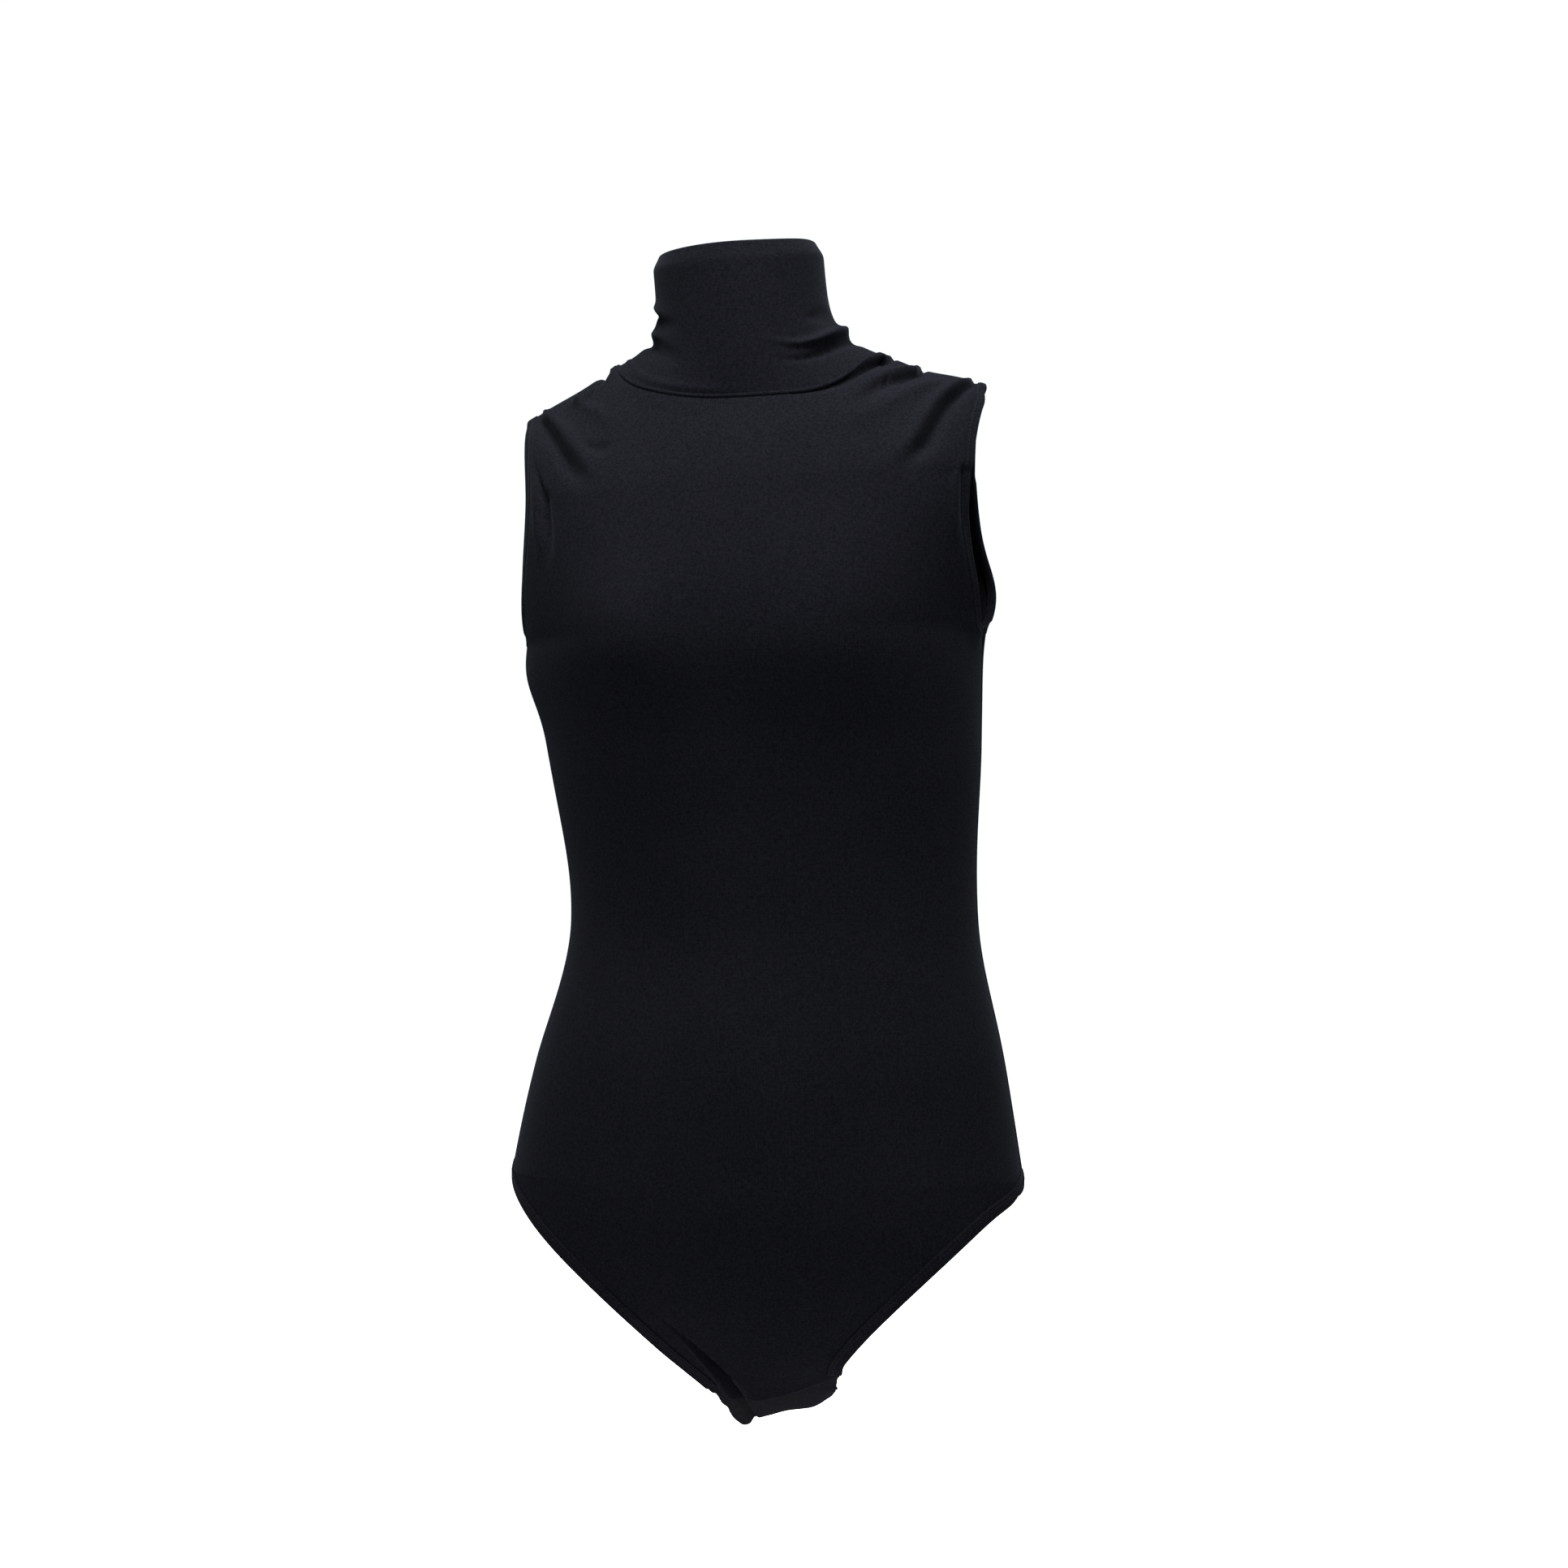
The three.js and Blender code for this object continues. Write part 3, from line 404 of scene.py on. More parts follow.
PANEL_FOLDS = [
    # the wearer's right shoulder and armhole
    crease(
        on(BACK, (-0.95, 0.02))
        + on(FRONT, (-0.95, 0.04), (-0.93, 0.18), (-0.86, 0.4), (-0.75, 0.64), (-0.68, 0.775),
             (-0.61, 0.89), (-0.56, 1.01)),
        5.8, 4.4, ridge=3.4, away=1.7,
    ),
    crease(
        on(FRONT, (-0.94, 0.6), (-0.895, 0.775), (-0.855, 0.958), (-0.825, 1.025), (-0.78, 1.07),
           (-0.76, 1.12)),
        4.2, 3.6, ridge=2.6, side=-1, away=1.7,
    ),
    crease(on(FRONT, (-0.66, 0.6), (-0.54, 0.65), (-0.44, 0.66)), 2.0, 4.0),
    crease(
        on(BACK, (-0.58, 0.3), (-0.62, 0.04))
        + on(FRONT, (-0.615, 0.05), (-0.6, 0.108), (-0.63, 0.19), (-0.7, 0.26)),
        6.5, 4.2, ridge=2.6, away=1.5,
    ),
    crease(on(FRONT, (-0.56, 0.12), (-0.625, 0.225), (-0.685, 0.267), (-0.75, 0.3)), -2.8, 3.2),
    crease(
        on(FRONT, (-0.82, 0.11), (-0.77, 0.167), (-0.635, 0.367), (-0.515, 0.442), (-0.4, 0.5)),
        -2.4, 3.8,
    ),
    # the wearer's left shoulder and armhole
    crease(
        on(BACK, (0.6, 0.2), (0.61, 0.05))
        + on(FRONT, (0.6, 0.06), (0.56, 0.13), (0.48, 0.13), (0.4, 0.09), (0.3, 0.05), (0.16, 0.015),
             (-0.1, 0.01)),
        4.2, 2.4, ridge=2.8, side=-1, away=1.8,
    ),
    crease(
        on(BACK, (0.72, 0.25), (0.75, 0.06))
        + on(FRONT, (0.75, 0.06), (0.735, 0.18), (0.68, 0.25), (0.64, 0.3), (0.57, 0.35), (0.45, 0.41),
             (0.33, 0.48)),
        4.8, 3.2, ridge=3.4, side=-1, away=1.7,
    ),
    crease(
        on(BACK, (0.9, 0.35), (0.97, 0.1))
        + on(FRONT, (0.985, 0.08), (0.955, 0.208), (0.925, 0.333), (0.88, 0.467), (0.83, 0.642),
             (0.785, 0.783), (0.74, 0.85), (0.68, 0.967), (0.62, 1.02)),
        5.2, 4.2, ridge=4.4, side=-1, away=1.6,
    ),
    crease(
        on(FRONT, (0.88, 0.14), (0.815, 0.258), (0.64, 0.467), (0.46, 0.567), (0.32, 0.62)),
        -2.4, 5.4,
    ),
    crease(
        on(FRONT, (0.985, 0.93), (0.985, 1.045), (0.97, 1.12)),
        2.4, 3.5, ridge=1.4, side=-1, away=1.8,
    ),
    # the crease inside the wearer's right leg opening
    crease(
        on(FRONT, (-0.66, 2.52), (-0.56, 2.66), (-0.53, 2.78), (-0.53, 2.86), (-0.52, 2.93),
           (-0.5, 2.99))
        + on(BACK, (-0.45, 2.99)),
        5.0, 2.4, ridge=2.2, side=-1, away=2.0,
    ),
]
COLLAR_FOLDS = [
    # the twist at the foot of the collar, on the wearer's left
    crease(
        on(COLLAR, (0.3, 0.37), (0.75, 0.28), (1.1, 0.22), (1.45, 0.2), (1.9, 0.24), (2.4, 0.34)),
        -5.0, 3.4,
    ),
    crease(on(COLLAR, (0.35, 0.23), (0.75, 0.175), (1.15, 0.14), (1.55, 0.12), (2.1, 0.15)), 3.2, 3.2),
    crease(on(COLLAR, (0.85, 0.42), (1.2, 0.37), (1.6, 0.33)), 1.4, 4.5),
    # creases on the wearer's right
    crease(
        on(COLLAR, (-2.2, 0.52), (-1.7, 0.48), (-1.3, 0.44), (-1.0, 0.42), (-0.6, 0.45)),
        2.0, 3.2, ridge=1.6, away=1.5,
    ),
    crease(
        on(COLLAR, (-2.2, 0.2), (-1.7, 0.19), (-1.3, 0.2), (-1.0, 0.23), (-0.4, 0.18)),
        3.0, 4.0, ridge=2.2, away=1.6,
    ),
    # the neck seam stands up a little on the wearer's right
    crease(on(COLLAR, (-1.9, 0.05), (-1.2, 0.045), (-0.5, 0.04), (0.5, 0.03)), -1.8, 1.9),
]


def surface_point(surface, u, v):
    return collar_point(u, v) if surface == COLLAR else worn(surface, u, v)


def fold_path(stops):
    """The fold's line as close points, rounded at its stops, with its direction and share of the way."""
    path = []
    for (s0, u0, v0), (s1, u1, v1) in zip(stops, stops[1:]):
        k = np.linspace(0, 1, 12, endpoint=False)
        if s0 == s1:
            path.append(surface_point(s0, mix(u0, u1, k), mix(v0, v1, k)))
        else:
            path.append(mix(surface_point(s0, u0, v0), surface_point(s1, u1, v1), k[:, None]))
    path = np.concatenate(path)
    for _ in range(12):
        path[1:-1] = (path[:-2] + 2 * path[1:-1] + path[2:]) / 4
    return path, unit(np.gradient(path, axis=0)), np.linspace(0, 1, len(path))


def relief(p, normal, folds):
    """How far the folds lift (or sink) these surface points, in millimetres."""
    shape = p.shape[:-1]
    p, normal = p.reshape(-1, 3), normal.reshape(-1, 3)
    height = np.zeros(len(p))
    for stops, depth, width, ridge, side, offset in folds:
        path, direction, share = fold_path(stops)
        low, high = path.min(0) - 5 * width, path.max(0) + 5 * width
        near = np.flatnonzero(((p > low) & (p < high)).all(1))
        if not len(near):
            continue
        gap = np.linalg.norm(p[near, None] - path[None], axis=-1)
        i = gap.argmin(1)
        away = p[near] - path[i]
        across = (away * np.cross(normal[near], direction[i])).sum(1)
        along = (away * direction[i]).sum(1)
        fade = smoothstep(0, 0.4, share[i]) * smoothstep(1, 0.6, share[i])
        spread = width * mix(0.5, 1.25, smoothstep(0.1, 0.7, share[i]))
        groove = -depth * bump(np.hypot(across, along), spread)
        crest = ridge * bump(across * side - offset * spread, spread) * bump(along, spread)
        height[near] += fade * (groove + crest)
    return height.reshape(shape)


def drape(p):
    """The slight unevenness of cloth stretched over a form, in millimetres."""
    x, y, z = p[..., 0], p[..., 1], p[..., 2]
    slow = np.sin(x / 37 + z / 61) * np.sin(z / 43 - y / 52 + 1.3)
    fine = np.sin(x / 17 - z / 29 + 0.7) * np.sin(z / 23 + x / 41)
    return 0.45 * slow + 0.18 * fine


LOWER_ARC = 0.077
LEFT_ARC = 0.105
LEG_DRAW = 0.055
SEAM_DIP = 0.9
SEAM_DIP_WIDTH = 2.4
EDGE_ROLL = 1.8


def fitted(half, u, v):
    """Where the cloth sits on the worn surface. The panels' lower edges curve up towards the legs, and the
    front's leg line is drawn in on the wearer's right."""
    v = v - np.where(u > 0, LEFT_ARC, LOWER_ARC) * u**2 * smoothstep(2.6, 3, v)
    if half is FRONT:
        u = u * (1 - LEG_DRAW * (u < 0) * bump(v - 2.6, 0.26))
    return u, v


def pulled(half, u, v, p):
    """The cloth sags on the wearer's left shoulder and stands out at its tip, gapes behind that arm and hangs
    lower at that hip. The right side is fuller under the arm."""
    gape_width, arm_pull = (3, 6) if half is FRONT else (7, -3)
    sag = SHOULDER_SAG * bump(u - 0.74, 0.14) * bump(v, 0.3)
    gape = gape_width * bump(v - 1.16, 0.06) * smoothstep(0.82, 1, u)
    arm = arm_pull * smoothstep(0.6, 1, u) * smoothstep(0.03, 0.35, v) * smoothstep(1.2, 0.9, v)
    tip = TIP_PULL * smoothstep(0.8, 1, u) * bump(v, 0.25)
    bust = BUST_FULLNESS * bump(v - 1.265, 0.055) * smoothstep(-0.6, -1, u)
    hip = HIP_SAG * bump(v - 2.09, 0.1) * smoothstep(0.75, 1, u)
    return p + points(gape + arm + tip - bust, 0 * gape, -sag - hip)


def cloth_surface(half, u, v):
    """The jersey's outer face and its outward normal, folds included."""
    u, v = fitted(half, u, v)
    p, normal = pulled(half, u, v, worn(half, u, v)), worn_normal(half, u, v)
    from_side = (1 - np.abs(u)) * 1.5 * half_width(p[..., 2])
    dip = SEAM_DIP * bump(from_side, SEAM_DIP_WIDTH) * (v > 1.2) * (v < 2.02)
    calm = 1 - 0.8 * bump(1 - np.abs(u), 0.04)
    roll = EDGE_ROLL * smoothstep(0.93, 1, np.abs(u)) * smoothstep(0.05, 0.2, v) * smoothstep(1.2, 1.1, v)
    lift = relief(p, normal, PANEL_FOLDS) + drape(p) * calm - dip - roll
    return p + lift[..., None] * normal, normal


def collar_surface(turn, t):
    p, normal = collar_point(turn, t), collar_normal(turn, t)
    return p + (relief(p, normal, COLLAR_FOLDS) + 0.6 * drape(p) * t)[..., None] * normal, normal


# ------------ meshes

def make(name, verts, faces, material, uv=None):
    """A smooth mesh from points in millimetres, turned to face out."""
    verts = np.asarray(verts, float) * MM
    faces = np.asarray(faces, int)
    a, b, c = (verts[faces[:, k]] for k in (0, 1, 2))
    volume = (a * np.cross(b, c)).sum()
    if faces.shape[1] == 4:
        volume += (a * np.cross(c, verts[faces[:, 3]])).sum()
    if volume < 0:
        faces = faces[:, ::-1]
    mesh = bpy.data.meshes.new(name)
    mesh.from_pydata(verts.tolist(), [], faces.tolist())
    if uv is not None:
        layer = mesh.uv_layers.new(name="cloth")
        layer.data.foreach_set("uv", (np.asarray(uv, float) * MM)[faces.reshape(-1)].reshape(-1))
    mesh.polygons.foreach_set("use_smooth", [True] * len(mesh.polygons))
    mesh.materials.append(material)
    mesh.update()
    obj = bpy.data.objects.new(name, mesh)
    bpy.context.scene.collection.objects.link(obj)
    return obj


def sweep(name, rings, material, closed=False, uv=None):
    """Joins rings of section points. A section runs out along one face and back along the other."""
    rings = np.asarray(rings, float)
    count, size = rings.shape[:2]
    spans = count if closed else count - 1
    i, k = np.meshgrid(np.arange(spans), np.arange(size), indexing="ij")
    j, l = (i + 1) % count, (k + 1) % size
    faces = np.stack([i * size + k, i * size + l, j * size + l, j * size + k], -1).reshape(-1, 4)
    if not closed:
        k = np.arange(size // 2 - 1)
        cap = np.stack([k, size - 1 - k, size - 2 - k, k + 1], -1)
        faces = np.concatenate([faces, cap, cap[:, ::-1] + (count - 1) * size])
    if uv is None:
        around = np.linalg.norm(np.diff(rings, axis=1, prepend=rings[:, :1]), axis=-1).cumsum(1)
        onward = np.linalg.norm(np.diff(rings[:, 0], axis=0, prepend=rings[:1, 0]), axis=-1).cumsum()
        uv = np.stack([around, np.broadcast_to(onward[:, None], around.shape)], -1)
    return make(name, rings.reshape(-1, 3), faces, material, np.asarray(uv).reshape(-1, 2))


def steps(p):
    return np.linalg.norm(np.diff(p, axis=0), axis=-1)


def run_of(p):
    """How far along a line each of its points is."""
    return np.concatenate([[0], steps(p).cumsum()])


def run_length(p):
    return steps(p).sum() * MM


def square_to(normal, along):
    return unit(normal - (normal * along).sum(1, keepdims=True) * along)


# ------------ materials

class Nodes:
    """A material's node tree, built up call by call."""

    def __init__(self, name):
        self.material = bpy.data.materials.new(name)
        self.material.use_nodes = True
        self.tree = self.material.node_tree
        self.shader = self.tree.nodes["Principled BSDF"]

    def add(self, kind, inputs=None, **settings):
        node = self.tree.nodes.new(kind)
        for key, value in settings.items():
            setattr(node, key, value)
        for key, value in (inputs or {}).items():
            self.set(node, key, value)
        return node

    def set(self, node, key, value):
        if isinstance(value, bpy.types.NodeSocket):
            self.tree.links.new(value, node.inputs[key])
        else:
            node.inputs[key].default_value = value

    def math(self, operation, a, b=0.0):
        return self.add("ShaderNodeMath", {0: a, 1: b}, operation=operation).outputs[0]

    def noise(self, scale, detail=2.0, coordinates=None):
        inputs = {"Scale": scale, "Detail": detail}
        if coordinates is not None:
            inputs["Vector"] = coordinates
        return self.add("ShaderNodeTexNoise", inputs).outputs["Fac"]

    def blend(self, factor, low, high):
        ramp = self.add("ShaderNodeValToRGB", {"Fac": factor})
        ramp.color_ramp.elements[0].position, ramp.color_ramp.elements[1].position = 0.25, 0.75
        ramp.color_ramp.elements[0].color, ramp.color_ramp.elements[1].color = (*low, 1), (*high, 1)
        return ramp.outputs["Color"]

    def bumped(self, height, strength, distance):
        inputs = {"Height": height, "Strength": strength, "Distance": distance}
        return self.add("ShaderNodeBump", inputs).outputs[0]

    def place(self, kind="Object"):
        return self.add("ShaderNodeTexCoord").outputs[kind]

    def plus(self, a, b, share):
        """a + b * share"""
        return self.math("ADD", a, self.math("MULTIPLY", b, share))

    def finish(self, **inputs):
        for key, value in inputs.items():
            self.set(self.shader, key.replace("_", " "), value)
        return self.material


def knit_height(nodes, wale, course):
    """Columns of V-shaped stitches: wales side by side, courses one above another, in metres of cloth."""
    split = nodes.add("ShaderNodeSeparateXYZ", {"Vector": nodes.place("UV")})
    across = nodes.math("MULTIPLY", split.outputs["X"], math.pi / wale)
    column = nodes.math("ABSOLUTE", nodes.math("SINE", across))
    down = nodes.math("MULTIPLY", split.outputs["Y"], 2 * math.pi / course)
    stitch = nodes.math("SINE", nodes.plus(down, column, 1.8))
    return nodes.plus(nodes.math("MULTIPLY", column, 0.7), stitch, 0.3)


def knit(name, low, high, wale=0.0009, course=0.0008):
    """Matte stretch jersey: dark yarn with a slightly lighter bloom, and the grain of its stitches."""
    nodes = Nodes(name)
    place = nodes.place()
    height = knit_height(nodes, wale, course)
    cloudy = nodes.noise(14.0, 3.0, place)
    fluff = nodes.noise(620.0, 3.0, place)
    tone = nodes.plus(nodes.math("MULTIPLY", cloudy, 0.15), fluff, 0.6)
    return nodes.finish(
        Base_Color=nodes.blend(nodes.plus(tone, height, 0.25), low, high),
        Roughness=nodes.plus(0.78, cloudy, 0.14),
        Normal=nodes.bumped(nodes.plus(height, fluff, 1.4), 0.35, 0.0002),
        Specular_IOR_Level=0.0,
        Sheen_Weight=0.009,
        Sheen_Roughness=0.4,
        Sheen_Tint=(0.75, 0.8, 1.0, 1.0),
    )


def woven(name, low, high, pitch, roughness):
    """A narrow woven tape or label: ribs across its width and a fine ripple along it."""
    nodes = Nodes(name)
    split = nodes.add("ShaderNodeSeparateXYZ", {"Vector": nodes.place("UV")})
    ribs = nodes.math("SINE", nodes.math("MULTIPLY", split.outputs["Y"], 2 * math.pi / pitch))
    warp = nodes.math("SINE", nodes.math("MULTIPLY", split.outputs["X"], 2 * math.pi / pitch))
    height = nodes.plus(ribs, warp, 0.6)
    return nodes.finish(
        Base_Color=nodes.blend(nodes.plus(0.5, height, 0.3), low, high),
        Roughness=roughness,
        Normal=nodes.bumped(height, 0.5, 0.0001),
        Specular_IOR_Level=0.25,
    )


def thread_material():
    """Twisted polyester thread: fine slanting plies."""
    nodes = Nodes("thread")
    place = nodes.place()
    wave = {"Vector": place, "Scale": 900.0, "Distortion": 1.5}
    plies = nodes.add("ShaderNodeTexWave", wave, bands_direction="DIAGONAL").outputs["Fac"]
    return nodes.finish(
        Base_Color=nodes.blend(plies, (0.0018, 0.0018, 0.0024), (0.0050, 0.0050, 0.0064)),
        Roughness=nodes.plus(0.5, nodes.noise(300.0, 2.0, place), 0.2),
        Normal=nodes.bumped(plies, 0.5, 0.0001),
        Specular_IOR_Level=0.03,
    )


def stay_material():
    """Clear elastic tape over dark cloth, so it looks a frosted dark grey."""
    nodes = Nodes("stay_tape")
    place = nodes.place()
    frost = nodes.noise(700.0, 3.0, place)
    return nodes.finish(
        Base_Color=nodes.blend(nodes.noise(90.0, 2.0, place), (0.045, 0.048, 0.052), (0.070, 0.072, 0.076)),
        Roughness=nodes.plus(0.22, frost, 0.25),
        Normal=nodes.bumped(frost, 0.2, 0.0001),
    )


def metal_material():
    """Blackened press-stud metal, rubbed lighter where it has been handled."""
    nodes = Nodes("stud_metal")
    place = nodes.place()
    rubbed = nodes.noise(420.0, 4.0, place)
    return nodes.finish(
        Base_Color=nodes.blend(rubbed, (0.030, 0.030, 0.034), (0.085, 0.085, 0.092)),
        Roughness=nodes.plus(0.28, nodes.noise(1600.0, 2.0, place), 0.2),
        Normal=nodes.bumped(rubbed, 0.12, 0.0001),
        Metallic=1.0,
    )


def floor_material():
    nodes = Nodes("studio_floor")
    place = nodes.place()
    return nodes.finish(
        Base_Color=nodes.blend(nodes.noise(3.0, 2.0, place), (0.92, 0.92, 0.92), (0.95, 0.95, 0.95)),
        Roughness=0.9,
        Specular_IOR_Level=0.1,
        Emission_Color=(1.0, 1.0, 1.0, 1.0),
        Emission_Strength=0.12,
    )


JERSEY_CLOTH = knit("jersey", (0.0007, 0.0008, 0.0012), (0.0031, 0.0032, 0.0043))
# The tabs take a lighter copy of the jersey: painted light, standing in for the light the white floor throws
# up under the crotch.
FLOOR_LIT_TAB_CLOTH = knit("jersey_painted_floor_light", (0.0016, 0.0016, 0.0021), (0.0050, 0.0049, 0.0059))
LINING_CLOTH = knit("lining", (0.0030, 0.0030, 0.0038), (0.0052, 0.0053, 0.0064), 0.0006, 0.0006)
ELASTIC_TAPE = woven("elastic", (0.006, 0.006, 0.007), (0.014, 0.014, 0.016), 0.0009, 0.6)
LABEL_TAPE = woven("label", (0.012, 0.013, 0.016), (0.022, 0.023, 0.028), 0.0004, 0.35)
THREAD = thread_material()
STAY_TAPE = stay_material()
STUD_METAL = metal_material()


# ------------ placing pieces

def settle(obj, body, slot, *nodes):
    """The piece rides on a body and stands for these CAD nodes, which it hides. The slot is not used."""
    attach(obj, body)
    if nodes:
        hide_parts(*nodes)
    return obj


# ------------ front and back panels

BOTTOM_ROW = 3 - 0.0065
HALF_COLUMNS = np.concatenate([np.linspace(0, 0.26, 12)[1:-1], np.linspace(0.26, 1, 76)])
PANEL_COLUMNS = np.concatenate([-HALF_COLUMNS[::-1], [0], HALF_COLUMNS])
PANEL_ROWS = np.concatenate([
    np.linspace(0, 1, 74)[:-1],
    np.linspace(1, 2, 120)[:-1],
    2 + np.linspace(0, 1, 60)[:-1] ** 1.15,
    [BOTTOM_ROW],
])


def panel_grid(half, rows, columns, depth):
    u, v = np.meshgrid(columns, rows)
    p, normal = cloth_surface(half, u, v)
    return p - depth * normal


def cloth_uv(rows, columns):
    """Knit coordinates in millimetres: wales run down the cloth, and courses run across it."""
    u, v = np.meshgrid(columns, rows)
    down = 90 * np.minimum(v, 1) + (CHEST - HIP) * np.clip(v - 1, 0, 1) + 150 * np.maximum(v - 2, 0)
    return np.stack([200 * u, down], -1)


def layer(name, half, rows, columns, depth, thickness, material):
    """A closed layer of cloth between two depths under the outer face."""
    outer, inner = (panel_grid(half, rows, columns, d) for d in (depth, depth + thickness))
    uv = cloth_uv(rows, columns)
    both_uv = np.concatenate([uv, uv[:, ::-1]], 1)
    return sweep(name, np.concatenate([outer, inner[:, ::-1]], 1), material, uv=both_uv)


def add_panels():
    for half, side in ((FRONT, "front"), (BACK, "back")):
        obj = layer(f"{side}_cloth", half, PANEL_ROWS, PANEL_COLUMNS, 0, JERSEY, JERSEY_CLOTH)
        settle(obj, "garment", "jersey", f"{side}_panel")
        middle = panel_grid(half, PANEL_ROWS, np.zeros(1), 0)[:, 0]
        widest = panel_grid(half, np.array([1.98]), PANEL_COLUMNS, 0)[0]


# ------------ hems

def opening_path(stations, side, closed):
    """Points along an opening's edge, with the outward normal, the way into the cloth and the way along."""
    pieces = [cloth_surface(half, np.full(len(v), float(side)), v) for half, v in stations]
    p = np.concatenate([q[0] for q in pieces])
    normal = np.concatenate([q[1] for q in pieces])
    for _ in range(6):
        soft = (np.roll(normal, 1, 0) + 2 * normal + np.roll(normal, -1, 0)) / 4
        normal = soft if closed else np.concatenate([normal[:1], soft[1:-1], normal[-1:]])
    if closed:
        along = unit(np.roll(p, -1, 0) - np.roll(p, 1, 0))
    else:
        along = unit(np.gradient(p, axis=0))
    normal = square_to(normal, along)
    return p, normal, unit(np.cross(normal, along)) * side, along


HEM_OUTER = 0.05
HEM_PLY = 0.5
HEM_INNER = -(JERSEY + 1.1)
HEM_FACE = HEM_OUTER + HEM_PLY
FOLD_CENTRE = (HEM_OUTER + HEM_INNER) / 2
FOLD_RADIUS = (HEM_OUTER - HEM_INNER) / 2
ELASTIC_TOP = -(JERSEY + 0.25)
ELASTIC_BOTTOM = -(JERSEY + 0.8)
ARM_NEEDLES = (3.6,)
LEG_NEEDLES = (4.4, 6.8)
HEM_GAP = 5 / 190


def hem_section(width):
    """[distance in from the edge, height above the cloth] round the folded strip, outside first."""
    reach = np.linspace(width, 0.4, 7)
    turn = np.linspace(math.pi / 2, 3 * math.pi / 2, 9)

    def side(radius):
        top = [(b, FOLD_CENTRE + radius) for b in reach]
        arc = [(radius * math.cos(a), FOLD_CENTRE + radius * math.sin(a)) for a in turn]
        return top + arc + [(b, FOLD_CENTRE - radius) for b in reach[::-1]]

    return side(FOLD_RADIUS + HEM_PLY) + side(FOLD_RADIUS)[::-1]


def on_cloth(tree, p):
    """The nearest point of the jersey's outer face, and its normal."""
    place, normal = [], []
    for q in p:
        found = tree.find_nearest(Vector(q))
        place.append(found[0])
        normal.append(found[1])
    return np.array(place, float), np.array(normal, float)


def cloth_tree():
    """The outer faces of both panels, to lay hems and stitches on."""
    verts, faces = [], []
    for half in (FRONT, BACK):
        grid = panel_grid(half, PANEL_ROWS[::2], PANEL_COLUMNS, 0)
        count, size = grid.shape[:2]
        i, k = np.meshgrid(np.arange(count - 1), np.arange(size - 1), indexing="ij")
        a = i * size + k + len(verts)
        quads = np.stack([a, a + size, a + size + 1, a + 1], -1).reshape(-1, 4)
        faces += (quads if half is FRONT else quads[:, ::-1]).tolist()
        verts += grid.reshape(-1, 3).tolist()
    return BVHTree.FromPolygons(verts, faces)


def lay(tree, path, b, c):
    """Points at a distance b in from the edge and a height c, following the cloth's own shape."""
    p, normal, inward, _ = path
    flat = p + b * inward + c * normal
    if b < 0.5:
        return flat
    place, _ = on_cloth(tree, p + b * inward)
    share = smoothstep(0.3, 3.0, b)
    return mix(flat, place + c * normal, share)


# ------------ stitches

STITCH_PITCH = 2.6
STITCH_LENGTH = 2.1
STITCH_RADIUS = 0.18
STITCH_SIDES = 6
# Where each ring of a stitch is along it, and its share of the radius.
STITCH_RINGS = ((-1.0, 0.35), (-0.8, 0.85), (0.0, 1.0), (0.8, 0.85), (1.0, 0.35))


def stitches(name, centres, along, normal):
    """A row of short threads lying on the cloth, sunk at both ends where they go through it."""
    across = unit(np.cross(normal, along))
    verts = []
    for place, size in STITCH_RINGS:
        sink = STITCH_RADIUS * 1.2 * place**2
        core = centres + along * place * STITCH_LENGTH / 2 - normal * sink
        for k in range(STITCH_SIDES):
            a = 2 * math.pi * k / STITCH_SIDES
            verts.append(core + STITCH_RADIUS * size * (math.cos(a) * across + math.sin(a) * normal))
    verts = np.stack(verts, 1)
    last = (len(STITCH_RINGS) - 1) * STITCH_SIDES
    faces = []
    for ring in range(0, last, STITCH_SIDES):
        for k in range(STITCH_SIDES):
            after = (k + 1) % STITCH_SIDES
            faces.append([ring + k, ring + after, ring + STITCH_SIDES + after, ring + STITCH_SIDES + k])
    faces += [[0, 5, 4, 1], [1, 4, 3, 2]]
    faces += [[last, last + 1, last + 4, last + 5], [last + 1, last + 2, last + 3, last + 4]]
    faces = np.array(faces)[None] + (np.arange(len(centres)) * verts.shape[1])[:, None, None]
    return make(name, verts.reshape(-1, 3), faces.reshape(-1, 4), THREAD)


def spaced(p, pitch):
    """Evenly spaced points along a line, with the direction there."""
    run = run_of(p)
    at = np.arange(pitch / 2, run[-1] - pitch / 2, pitch)
    place = np.stack([np.interp(at, run, p[:, k]) for k in range(3)], 1)
    ahead = np.stack([np.interp(at + 0.5, run, p[:, k]) for k in range(3)], 1)
    return place, unit(ahead - place)


def stitch_rows(tree, name, path, needles):
    """Rows of stitches parallel to an edge, one for each needle's distance from it."""
    parts = []
    for b in needles:
        line = lay(tree, path, b, HEM_FACE - 0.02)
        place, along = spaced(line, STITCH_PITCH)
        _, normal = on_cloth(tree, place)
        parts.append((place, along, square_to(normal, along)))
    place, along, normal = (np.concatenate([q[k] for q in parts]) for k in range(3))
    return stitches(name, place, along, normal)


def cord_ring(path, rise, half_wide, half_high, ripple=0.0, sides=10):
    """Section points of a flattened round band along a path, such as overlocked seam allowances."""
    p, normal, inward, _ = path
    run = run_of(p)
    wave = 1 + ripple * np.sin(2 * math.pi * run / 2.4)
    angles = np.linspace(0, 2 * math.pi, sides, endpoint=False)
    return np.stack([
        p + rise * normal + (half_wide * wave * math.cos(a))[:, None] * inward
        + (half_high * wave * math.sin(a))[:, None] * normal
        for a in angles
    ], 1)


